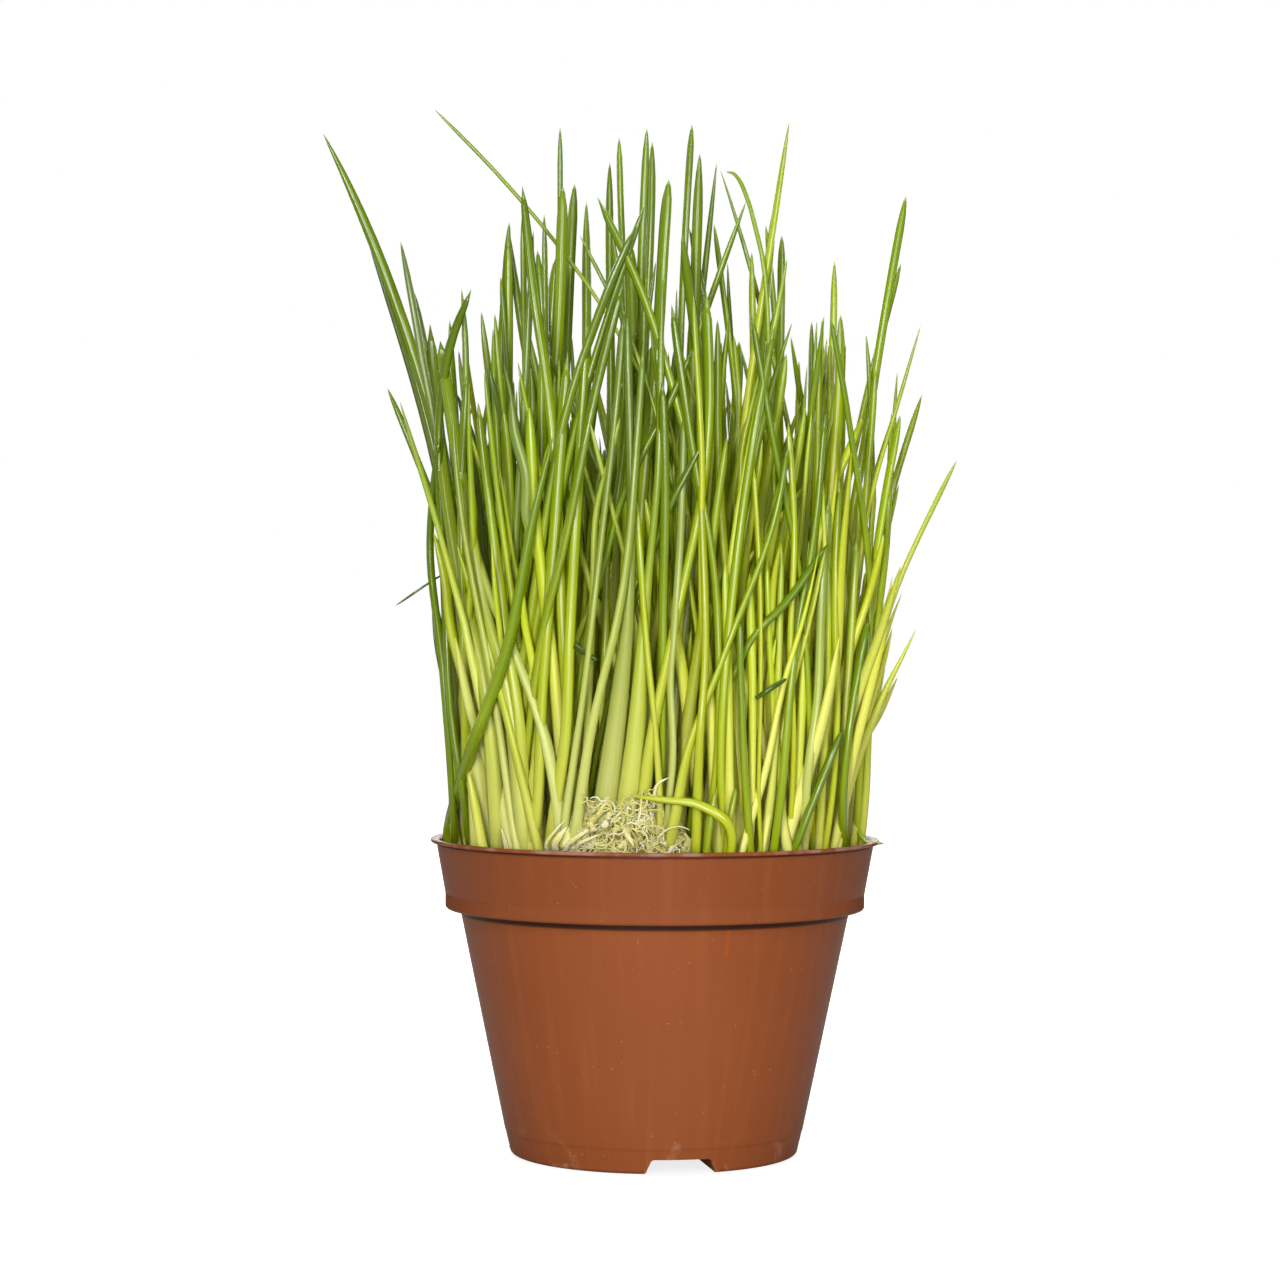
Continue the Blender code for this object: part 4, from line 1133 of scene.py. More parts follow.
def leaf_section(groove, squash):
    """The section of a leaf: an oval of cosine and sine times a depth that dips at one shallow groove."""
    angle = round_steps(LEAF_SIDES)
    from_groove = np.minimum(angle, 2.0 * math.pi - angle)
    depth = 1.0 - groove[..., None] * np.exp(-(from_groove / GROOVE_HALF_ANGLE) ** 2)
    narrow = depth * np.cos(angle) * (1.0 - squash[..., None])
    broad = depth * np.sin(angle) * (1.0 + squash[..., None])
    return np.stack([narrow, broad], axis=-1)


def joined_paths(leaves, paths):
    """Paths that reach down to level 0: a side leaf along its parent, a heap stalk straight on down.

    All but the leading leaves are then smoothed: each point takes a quarter from each neighbour.
    """
    joined = paths.copy()
    for number, leaf in enumerate(leaves):
        first = leaf["start"]
        if leaf["parent"] != number:
            joined[number, :first] = paths[leaf["parent"], :first]
        elif first:
            slope = joined[number, first + 1] - joined[number, first]
            joined[number, :first] = joined[number, first] - slope * np.arange(first, 0, -1)[:, None]
    free = np.array(["lead" not in leaf for leaf in leaves])
    for turn in range(STRAIGHTENINGS):
        straighter = 0.25 * (joined[:, :-2] + 2.0 * joined[:, 1:-1] + joined[:, 2:])
        joined[free, 1:-1] = straighter[free]
    return joined


def leaf_shapes(leaves, paths):
    """Arrays with a row for every leaf: its shape for grown_mesh, the tip as last centre, and its traits.

    Rings crowd towards the tip. Each leaf follows its path with a slight wave and a bend of its own, is
    as wide as its sheath below and its blade above, narrows where it forks off, and tapers at the tip.
    """
    draw = np.random.default_rng(SEED + 2)
    count = len(leaves)
    one = (count, 1)
    start, parent = (np.array([leaf[part] for leaf in leaves]) for part in ("start", "parent"))
    blade, stalk = (np.array([leaf[part] for leaf in leaves])[:, None] for part in ("radius", "stalk"))
    side = (parent != np.arange(count))[:, None]
    free = np.array(["lead" not in leaf for leaf in leaves])[:, None]
    share = 1.0 - (1.0 - np.linspace(0.0, 1.0, LEAF_RINGS + 1)) ** RING_CROWDING
    foot_z = np.where(start > 0, LEVELS[start] - FORK_DEPTH, LEAF_SINK_Z)[:, None]
    foot_z[~side & (start > 0)[:, None]] = HEAP_STALK_FOOT_Z
    tip_z = np.array([leaf["tip"][2] for leaf in leaves])[:, None]
    z = foot_z + (tip_z - foot_z) * share
    joined = joined_paths(leaves, paths)
    steps = (z - LEVELS[0]) / (LEVELS[1] - LEVELS[0])
    flat = np.array([smooth_points(path, at) for path, at in zip(joined, steps)])

    bend_from = draw.uniform(*BEND_FROM, one)
    loose = np.where(abs(joined[:, -1:, 1]) > OUTER_Y, OUTER_BEND, np.where(free, 1.0, LEADING_BEND))
    bend = draw.normal(0.0, 1.0, one)
    bend = bend * np.where(draw.uniform(size=one) < BENT_SHARE, STRONG_BEND, SLIGHT_BEND) * loose
    bend_way = draw.uniform(0.0, 2.0 * math.pi, one)
    bent = bend * np.maximum(share - bend_from, 0.0) * (tip_z - foot_z)
    wave = np.sin(draw.uniform(*WAVES, one) * share + draw.uniform(0.0, 6.3, one))
    flat += (bent + np.sin(math.pi * share) * wave)[..., None] * unit(bend_way)
    centres = np.concatenate([flat, z[..., None]], axis=2)

    sheath = ramp(-z, -STALK_END_Z, STALK_FADE)
    blade = blade * draw.uniform(*BLADE_SPREAD, one)
    blades = BLADE_WIDTH * blade * (1.0 - LEAF_TAPER * share)
    stalks = SHEATH_WIDTH * np.maximum(blade, stalk)
    radii = np.where(side, blades, blades * (1.0 - sheath) + stalks * sheath)
    above_fork = np.where(side, ramp(z, foot_z, FORK_LENGTH), 1.0)
    radii *= FORK_WIDTH + (1.0 - FORK_WIDTH) * above_fork
    tip_length = TIP_LENGTH[0] + (TIP_LENGTH[1] - TIP_LENGTH[0]) * draw.uniform(size=one) ** 2
    radii *= (1.0 - (1.0 - ramp(-z, -tip_z, tip_length)) ** 1.9) ** 0.7
    groove = draw.uniform(*GROOVE_DEPTH, one) * (1.0 - 0.7 * sheath)
    sections = leaf_section(groove, draw.uniform(*SQUASH, one))
    turns = draw.uniform(-TWIST, TWIST, one) * share + draw.uniform(0.0, 2.0 * math.pi, one)

    x = centres[:, :1, 0]
    shift = draw.normal(0.0, GREEN_SHIFT_SPREAD, one) - RIGHT_SHIFT * ramp(x, RIGHT_X, 25.0)
    shift = shift + np.where(side, SIDE_SHIFT, 0.0) * ramp(z, foot_z, 30.0)
    shift += FAR_LEFT_SHIFT * ramp(-x, 50.0, 4.0)
    hue = np.clip(draw.normal(*HUE, one) + RIGHT_HUE * ramp(x, 4.0, 16.0), 0.0, 1.0)
    # Painted light: leaves towards the right are made lighter in colour, for the weaker light on that side.
    light = np.clip(draw.normal(*LIGHT, one) + RIGHT_PAINTED_LIGHT * ramp(x, RIGHT_X, 20.0), *LIGHT_RANGE)
    for number, leaf in enumerate(leaves):
        if leaf.get("lead") in OWN_LOOKS:
            wide, greener, hue[number], light[number] = OWN_LOOKS[leaf["lead"]]
            radii[number] *= wide
            shift[number] += greener
    pale = np.interp(z + shift, PALE_HEIGHTS, PALE_SHARES)
    hue = hue[parent] + (hue - hue[parent]) * above_fork
    light = light[parent] + (light - light[parent]) * above_fork
    shapes = {"radii": radii, "sections": sections, "turns": turns, "lengths": z}
    shapes, traits = ({part: values[:, :LEAF_RINGS] for part, values in group.items()}
                      for group in (shapes, {"pale": pale, "hue": hue, "light": light}))
    return {"centres": centres, **shapes}, traits


skin = chive_skin()
shapes, looks = leaf_shapes(all_leaves, paths)
tuft_of = np.array([leaf["tuft"] for leaf in all_leaves])
for tuft in range(len(places) + 1):
    clump = tuft == len(places)
    name = "clump_leaves" if clump else f"tuft_{tuft + 1:02d}_leaves"
    own_shapes, own_looks = ({part: values[tuft_of == tuft] for part, values in group.items()}
                             for group in (shapes, looks))
    grown = show(grown_mesh(name, traits=own_looks, **own_shapes), skin)
    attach(grown, "root")
    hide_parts("lifted_clump" if clump else f"tuft_{tuft + 1:02d}")


# Root heap. One pinch was lifted out of the compost and laid back at the front, so its bare roots
# show: a mat of fine curly cream roots round two thick crowns, with papery shreds of old sheaths.
HEAP_SEED = 20
HEAP_FOOT_Z = 82.3
HEAP_TOP_Z = 105.2
HEAP_SHAPE = ((82.3, 1.0), (93.5, 0.96), (100.5, 0.8), (104.3, 0.52), (105.2, 0.2))
CORE_SIZE = 0.94
CORE_SIDES = 72
CORE_ROWS = 26
CORE_PAINTED_SHADE_PALENESS = 0.32
CORE_WAVE = 0.22
LOWEST_ROOT_Z = 88.0
ROOTS = 430
ROOT_RINGS = 20
ROOT_SIDES = 5
ROOT_RADIUS = (0.14, 0.34)
ROOT_TOP_Z = (90.0, 105.0)
ROOT_FALL = (-2.0, 5.0)
ROOT_PALENESS = (0.74, 0.15)
IN_FRONT_SHARE = 0.75
OVER_CROWNS = 60
OVER_SPAN = (-18.5, -0.5)
OVER_Z_RANGE = (97.5, 106.5)
OVER_FRONT = -60.7
OVER_BOX = ((-20.5, -70.0, 88.0), (2.0, -50.0, 108.0))
SHEETS = 70
SHEET_RINGS = 8
SHEET_Z = (88.5, 103.5)
SHEET_HALF_WIDTH = (0.5, 1.5)
SHEET_HALF_DEPTH = 0.09
SHEET_PALENESS = (0.72, 0.13)
CROWN_SIDES = 24
CROWN_RINGS = 12
CROWN_FORWARD = 2.0
CROWN_WAVE = 0.035
THIN_STALK = 3.0
THIN_LOWER = (3.5, 7.0)
CROWN_LOW_Z = 95.0
CROWN_TOP_Z = 109.0
THREAD_RINGS = 14
THREAD_HALF_DEPTH = 0.22
SHREDS_A_STALK = 2
SHRED_RINGS = 6
SHRED_FOOT_Z = 86.5
SHRED_HEIGHT = (5.0, 13.0)
SHRED_HALF_WIDTH = (0.8, 1.9)
SHRED_HALF_DEPTH = 0.12
SHRED_FLARE = 1.6
SHRED_PALENESS = (0.78, 0.16)
THREADS = (
    # points, half width: the strips and threads that stand out on the mat
    (((-29.0, -48.0, 87.5), (-30.0, -55.4, 92.6), (-27.6, -57.6, 96.4), (-25.0, -58.0, 99.4)), 0.50),
    (((-26.8, -48.5, 87.0), (-27.6, -56.4, 92.4), (-26.2, -58.0, 95.2), (-24.2, -58.4, 97.8)), 1.10),
    (((-24.8, -50.0, 87.5), (-24.2, -57.4, 92.4), (-20.2, -59.4, 95.8), (-15.6, -60.0, 98.8)), 0.80),
    (((-21.6, -51.0, 87.5), (-21.4, -58.4, 92.4), (-18.4, -60.0, 94.4), (-15.0, -60.4, 96.0)), 0.60),
    (((-5.3, -60.0, 98.4), (-4.3, -60.9, 102.0), (-4.1, -60.4, 105.4), (-3.6, -58.8, 108.8)), 0.33),
    (((-0.8, -58.6, 103.0), (-0.4, -60.0, 107.8), (0.9, -60.4, 110.0), (3.6, -60.0, 111.4)), 0.50),
    (((-17.6, -59.2, 101.4), (-15.0, -60.4, 104.2), (-12.6, -60.2, 103.4), (-11.4, -60.0, 100.0)), 0.26),
    (((-12.6, -60.2, 99.0), (-9.4, -60.8, 101.8), (-6.8, -60.6, 100.6), (-4.8, -60.6, 101.6)), 0.24),
    (((0.2, -59.6, 94.6), (3.0, -60.2, 97.2), (6.4, -60.0, 98.0), (9.2, -58.8, 97.0)), 0.24),
)


def root_skin():
    """Root skin: dark olive to cream by its paleness, patchy, with soft dull gloss. Its dark end is painted
    shade on the mat's core.
    """
    root = Finish("root_skin", Specular_IOR_Level=0.3, Subsurface_Weight=0.15, Subsurface_Scale=0.0015)
    root.shader.inputs["Subsurface Radius"].default_value = (1.0, 0.9, 0.4)
    pale = root.node("Attribute", {"attribute_name": "pale"}, out="Fac")
    place = root.place()
    patch = root.noise(place, 350.0, 2.0)
    grain = root.noise(place, 1500.0, 2.0)
    stops = [(0.0, (0.04, 0.035, 0.007)), (0.3, (0.25, 0.215, 0.04)), (0.55, (0.47, 0.42, 0.10)),
             (0.8, (0.60, 0.55, 0.21)), (1.0, (0.66, 0.65, 0.50))]
    base = root.node("ValToRGB", {"stops": stops}, {0: pale + (patch - 0.5) * 0.35 + (grain - 0.5) * 0.15})
    return root.wear(Base_Color=base, Roughness=patch * 0.2 + 0.5, Normal=root.bump(grain, 0.0003))


def heap_place(angle, z, proud):
    """A point of the heap's oval surface: an ellipse whose size follows the height, pushed out by proud."""
    size = np.interp(z, *np.array(HEAP_SHAPE).T)
    x = HEAP_X + (HEAP_HALF_WIDTH * size + proud) * np.cos(angle)
    y = HEAP_Y + (HEAP_HALF_DEPTH * size + proud) * np.sin(angle)
    return np.stack([x, y, z], axis=-1)


def heap_core():
    """The inside of the mat, one dark colour all over as painted shade among the roots: rows of heap_place,
    a little smaller, with small seeded waves.
    """
    draw = np.random.default_rng(HEAP_SEED + 1)
    angle = round_steps(CORE_SIDES)[None, :]
    z = np.linspace(HEAP_FOOT_Z, HEAP_TOP_Z - 0.6, CORE_ROWS)[:, None]
    proud = np.full((CORE_ROWS, CORE_SIDES), (CORE_SIZE - 1.0) * HEAP_HALF_DEPTH - 0.4)
    for number in range(14):
        turns = draw.integers(2, 15)
        proud += CORE_WAVE * np.sin(turns * angle + draw.uniform(0.2, 1.4) * z + draw.uniform(0.0, 6.3))
    angle, z = np.broadcast_arrays(angle, z)
    mesh = closed_rings("root_core", heap_place(angle, z, proud))
    # Painted shade: one low paleness all over makes the core a dark olive, for the shade inside the mat.
    shade = mesh.attributes.new("pale", "FLOAT", "POINT")
    shade.data.foreach_set("value", np.full(len(mesh.vertices), CORE_PAINTED_SHADE_PALENESS))
    mesh.shade_smooth()
    return mesh


def over_crowns(draw, ways, proud):
    """Flat ways (x, z), each moved as a whole to a seeded place on the crowns' front, more low than high."""
    one = (len(ways), 1)
    x = draw.uniform(*OVER_SPAN, one)
    z = OVER_Z_RANGE[0] + (OVER_Z_RANGE[1] - OVER_Z_RANGE[0]) * draw.uniform(size=one) ** 1.4
    ways = ways - ways[:, :1] + np.stack([x, z], axis=-1)
    return np.stack([ways[..., 0], OVER_FRONT + proud, ways[..., 1]], axis=-1)


def root_mat():
    """Curly roots on the heap: angle and height wander as sums of two sines, how proud they lie as one."""
    draw = np.random.default_rng(HEAP_SEED + 2)
    one = (ROOTS, 1)
    share = np.linspace(0.0, 1.0, ROOT_RINGS)[None, :]
    front = draw.uniform(-math.pi * 1.05, math.pi * 0.05, one)
    angle = np.where(draw.uniform(size=one) < IN_FRONT_SHARE, front, draw.uniform(0.0, 2.0 * math.pi, one))
    top = draw.uniform(*ROOT_TOP_Z, one)
    fall = draw.normal(*ROOT_FALL, one)
    angle = angle + share * draw.normal(0.0, 0.55, one)
    z = top + share * fall
    for waves in (draw.uniform(0.5, 1.6, one), draw.uniform(1.5, 3.6, one)):
        size = draw.uniform(0.4, 1.7, one) / waves
        phase = 6.283 * waves * share + draw.uniform(0.0, 6.3, one)
        angle = angle + size / 13.0 * np.sin(phase)
        z = z + size * np.cos(phase + draw.uniform(-0.8, 0.8, one))
    curl = np.stack([angle * 8.0, z * 0.7], axis=-1)[:OVER_CROWNS]
    proud = 0.1 + 0.7 * draw.uniform(size=one)
    proud = proud + 0.35 * np.sin(draw.uniform(4.0, 16.0, one) * share + draw.uniform(0.0, 6.3, one))
    centres = heap_place(angle, np.clip(z, LOWEST_ROOT_Z, HEAP_TOP_Z), proud)
    centres[:OVER_CROWNS] = over_crowns(draw, curl, 0.6 * proud[:OVER_CROWNS]).clip(*OVER_BOX)
    radii = draw.uniform(*ROOT_RADIUS, one) * (1.0 - 0.6 * share ** 2) * (1.0 - 0.5 * (1.0 - share) ** 6)
    pale = np.clip(draw.normal(*ROOT_PALENESS, one), 0.25, 1.0)
    circle = unit(round_steps(ROOT_SIDES))
    return grown_mesh("root_mat", centres, radii, circle, 0.0, 40.0 * share, {"pale": pale}, (0.2, 1.0, 0.3))


def oval(first, second):
    """Sections with six corners and these two half widths, each a number or one for each ring."""
    angle = round_steps(6)
    first, second = (np.asarray(half)[..., None] for half in (first, second))
    return np.stack(np.broadcast_arrays(first * np.cos(angle), second * np.sin(angle)), axis=-1)


def sheets_mesh():
    """Crumpled papery sheets among the roots: short strips on heap_place, turned to and fro as they run."""
    draw = np.random.default_rng(HEAP_SEED + 6)
    one = (SHEETS, 1)
    share = np.linspace(0.0, 1.0, SHEET_RINGS)[None, :]
    angle = draw.uniform(-math.pi, 0.0, one) + draw.normal(0.0, 0.22, one) * share
    z = draw.uniform(*SHEET_Z, one) + draw.normal(0.0, 3.0, one) * share
    z = z + 0.3 * np.sin(9.0 * share + 6.3 * draw.uniform(size=one))
    proud = draw.uniform(0.1, 0.9, one) + 0.35 * np.sin(draw.uniform(3.0, 9.0, one) * share)
    centres = heap_place(angle, np.clip(z, LOWEST_ROOT_Z, HEAP_TOP_Z - 0.3), proud)
    few = OVER_CROWNS // 5
    centres[:few] = over_crowns(draw, np.stack([angle * 11.0, z], axis=-1)[:few], 0.5 * proud[:few])
    wide = draw.uniform(*SHEET_HALF_WIDTH, one) * np.sin(math.pi * (0.12 + 0.76 * share)) ** 0.7
    turns = draw.normal(0.0, 0.5, one) + 0.6 * np.sin(draw.uniform(3.0, 10.0, one) * share)
    pale = np.clip(draw.normal(*SHEET_PALENESS, one), 0.3, 1.0)
    sections = oval(SHEET_HALF_DEPTH, wide)
    return grown_mesh("papery_sheets", centres, np.ones(z.shape), sections, turns, 10.0 * share,
                      {"pale": pale}, (0.1, 1.0, 0.2))


def along_stalks(numbers, z, first=0):
    """Places (x, y) on the paths of those leaves at heights z, from one of their levels on."""
    steps = (z - LEVELS[first]) / (LEVELS[1] - LEVELS[0])
    return np.array([smooth_points(paths[number, first:], at) for number, at in zip(numbers, steps)])


def crowns_mesh():
    """Crowns: each stalk's foot swells, bends forward out of the mat, and waves round and along."""
    draw = np.random.default_rng(HEAP_SEED + 3)
    own = np.nonzero((tuft_of == len(places)) & [leaf["stalk"] > 0.0 for leaf in all_leaves])[0]
    share = np.linspace(0.0, 1.0, CROWN_RINGS)[None, :]
    thick = np.array([SHEATH_WIDTH * all_leaves[number]["stalk"] for number in own])[:, None]
    thin = thick < THIN_STALK
    low = CROWN_LOW_Z - THIN_LOWER[0] * thin
    z = low + (CROWN_TOP_Z - THIN_LOWER[1] * thin - low) * share
    centres = np.concatenate([along_stalks(own, z, 1), z[..., None]], axis=2)
    centres[..., 1] -= CROWN_FORWARD * (1.0 - share) ** 1.5
    swell = np.sin(math.pi * (1.0 - share) ** 1.2) * (1.0 - share) ** 0.5
    radii = thick * (0.98 - 0.52 * share ** 2 + 0.26 * swell)
    angle = round_steps(CROWN_SIDES)
    reach = np.ones((len(own), CROWN_RINGS, CROWN_SIDES))
    for number in range(9):
        phase = draw.uniform(0.0, 6.3, (len(own), 1, 1))
        wave = np.sin(draw.integers(2, 9) * angle + draw.uniform(2.0, 12.0) * share[..., None] + phase)
        reach += CROWN_WAVE * (1.0 - share[..., None]) * wave
    ways = zip(shapes["lengths"][own], looks["pale"][own])
    stalk_pale = np.array([np.interp(CROWN_TOP_Z, heights, pale) for heights, pale in ways])[:, None]
    traits = {"pale": stalk_pale + (1.1 - stalk_pale) * (1.0 - share) ** 1.5}
    traits["hue"] = looks["hue"][own, :1]
    traits["light"] = looks["light"][own, :1]
    return grown_mesh("crowns", centres, radii, reach[..., None] * unit(angle), 0.0, z - low, traits)


def threads_mesh():
    """The strips and threads that stand out on the mat: flat ovals, narrower at their ends."""
    steps = np.linspace(0.0, 3.0, THREAD_RINGS)
    centres = np.array([smooth_points(np.array(points), steps) for points, half_width in THREADS])
    share = steps[None, :] / 3.0
    widths = np.array([half_width for points, half_width in THREADS])[:, None]
    widths = widths * (1.0 - 0.8 * (2.0 * share - 0.9).clip(0.0) ** 2)
    sections = oval(widths, THREAD_HALF_DEPTH)
    return grown_mesh("threads", centres, np.ones(widths.shape), sections, 0.0, 12.0 * share,
                      {"pale": 0.88 + 0.1 * np.sin(9.0 * share)})


def shreds_mesh():
    """Old sheaths at the stalks' feet: short tongues that hug the stalk and flare out a little above."""
    draw = np.random.default_rng(HEAP_SEED + 4)
    rooted = [number for number, leaf in enumerate(leaves) if leaf["parent"] == number and not leaf["start"]]
    stems = rooted * SHREDS_A_STALK
    one = (len(stems), 1)
    share = np.linspace(0.0, 1.0, SHRED_RINGS)[None, :]
    tall = SHRED_HEIGHT[0] + SHRED_HEIGHT[1] * draw.uniform(size=one) ** 2
    z = SHRED_FOOT_Z + tall * share
    turn = draw.uniform(0.0, 2.0 * math.pi, one) + 0.0 * share
    thick = np.array([SHEATH_WIDTH * leaves[number]["stalk"] for number in stems])[:, None]
    out = thick + 0.15 + draw.uniform(0.0, SHRED_FLARE, one) * share ** 3
    centres = np.concatenate([along_stalks(stems, z) + out[..., None] * unit(turn), z[..., None]], axis=2)
    widths = draw.uniform(*SHRED_HALF_WIDTH, one) * (1.0 - 0.85 * share ** 2)
    pale = np.clip(draw.normal(*SHRED_PALENESS, one), 0.35, 1.0)
    sections = oval(widths, SHRED_HALF_DEPTH)
    return grown_mesh("sheath_shreds", centres, np.ones(z.shape), sections, turn + math.pi / 2,
                      z - SHRED_FOOT_Z, {"pale": pale})


roots = root_skin()
for mesh in (heap_core(), root_mat()):
    piece = show(mesh, roots)
    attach(piece, "root")
    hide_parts("lifted_clump")

for mesh, surface, slot in ((crowns_mesh(), skin, "bare_root"), (threads_mesh(), roots, "bare_root"),
                            (sheets_mesh(), roots, "bare_root"), (shreds_mesh(), roots, "chive_leaf")):
    piece = show(mesh, surface)
    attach(piece, "root")


# Single leaves and shreds. A few leaves lie or lean outside the tufts: one loose leaf over the roots,
# one over the rim, broken tips, new shoots and one hair-thin stray. Each is drawn by its own points.
SINGLE_RINGS = 26
SINGLE_GROOVE = 0.15
SINGLE_SQUASH = 0.1
# Painted light: drawn leaves towards the right are made lighter in colour, for the weaker light on that
# side.
RIGHT_END_PAINTED_LIGHT = 0.1
SINGLES = (
    # points, radius at the foot and above, tip length, paleness at the foot and the tip, hue, lightness
    (((19.8, -57.5, 88.0), (20.6, -60.4, 94.0), (19.6, -62.4, 98.6), (16.2, -63.0, 101.8),
      (10.0, -62.4, 104.5), (2.0, -61.2, 105.3), (-7.2, -59.4, 106.2)),
     1.1, 1.3, 30.0, 0.46, 0.56, 0.95, 1.05),
    (((54.0, -8.0, 84.0), (56.5, -9.0, 92.0), (57.4, -10.0, 95.2), (58.4, -11.0, 93.4),
      (60.4, -12.0, 91.0), (62.8, -12.4, 90.6), (65.6, -12.6, 90.5)),
     0.65, 0.62, 5.0, 0.5, 0.3, 0.6, 1.0),
    (((36.0, -41.0, 84.0), (38.4, -45.0, 91.0), (44.0, -46.5, 106.0), (51.7, -44.0, 124.4)),
     1.1, 1.25, 16.0, 0.28, 0.05, 0.6, 0.85),
    (((-50.0, -8.0, 172.0), (-61.2, -10.0, 167.1), (-75.0, -10.0, 157.9)),
     0.35, 0.35, 8.0, 0.1, 0.0, 0.2, 0.7),
    (((-22.4, -61.0, 147.0), (-19.6, -62.5, 145.2), (-16.0, -63.0, 143.0)),
     0.7, 0.75, 2.0, 0.0, 0.0, 0.5, 0.55),
    (((27.0, -60.0, 133.0), (30.5, -61.0, 135.4), (35.4, -59.0, 138.4)),
     0.55, 0.68, 4.0, 0.0, 0.0, 0.5, 0.6),
    (((12.8, -56.5, 84.0), (13.7, -59.6, 92.0), (14.6, -61.0, 100.0), (16.1, -61.0, 107.8)),
     1.25, 1.15, 10.0, 0.34, 0.30, 0.9, 0.95),
    (((18.3, -55.5, 84.0), (19.2, -58.4, 93.0), (20.3, -60.5, 101.0), (21.6, -60.5, 108.6)),
     1.25, 1.1, 10.0, 0.36, 0.30, 0.9, 0.9),
    (((-47.0, -35.6, 84.0), (-48.6, -37.4, 92.0), (-50.3, -38.4, 102.0), (-52.3, -39.0, 111.8)),
     1.6, 1.4, 12.0, 0.9, 0.75, 0.6, 1.0),
)


def drawn_leaves(name, rows):
    """Tubes through the points of each row, thinner to the tip by the distance from it."""
    ways = [(np.array(row[0]), np.linspace(0.0, len(row[0]) - 1.0, SINGLE_RINGS + 1)) for row in rows]
    centres = np.array([smooth_points(points, steps) for points, steps in ways])
    columns = [np.array(column, float)[:, None] for column in list(zip(*rows))[1:]]
    foot, wide, tip, pale_foot, pale_tip, hue, light = columns
    run = np.linalg.norm(np.diff(centres, axis=1), axis=2).cumsum(1)
    run = np.concatenate([np.zeros((len(rows), 1)), run], axis=1)
    share = run / run[:, -1:]
    radii = foot + (wide - foot) * np.clip(share * 3.0, 0.0, 1.0)
    radii *= np.sqrt(1.0 - (1.0 - np.clip((run[:, -1:] - run) / tip, 0.0, 1.0)) ** 2.2)
    sections = leaf_section(np.full(share.shape, SINGLE_GROOVE), np.full(share.shape, SINGLE_SQUASH))
    pale = pale_foot + (pale_tip - pale_foot) * share
    # Painted light: lighter colour towards the right, for the weaker light there.
    light = light + RIGHT_END_PAINTED_LIGHT * ramp(centres[..., 0], RIGHT_X, 20.0)
    ring = slice(0, SINGLE_RINGS)
    turns = 1.5 * share[:, ring] + 2.4 * np.arange(len(rows))[:, None]
    traits = {"pale": pale[:, ring], "hue": hue, "light": light[:, ring]}
    drawn = show(grown_mesh(name, centres, radii[:, ring], sections[:, ring], turns, run[:, ring], traits,
                            (0.3, 1.0, 0.1)), skin)
    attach(drawn, "root")


drawn_leaves("single_leaves", SINGLES)


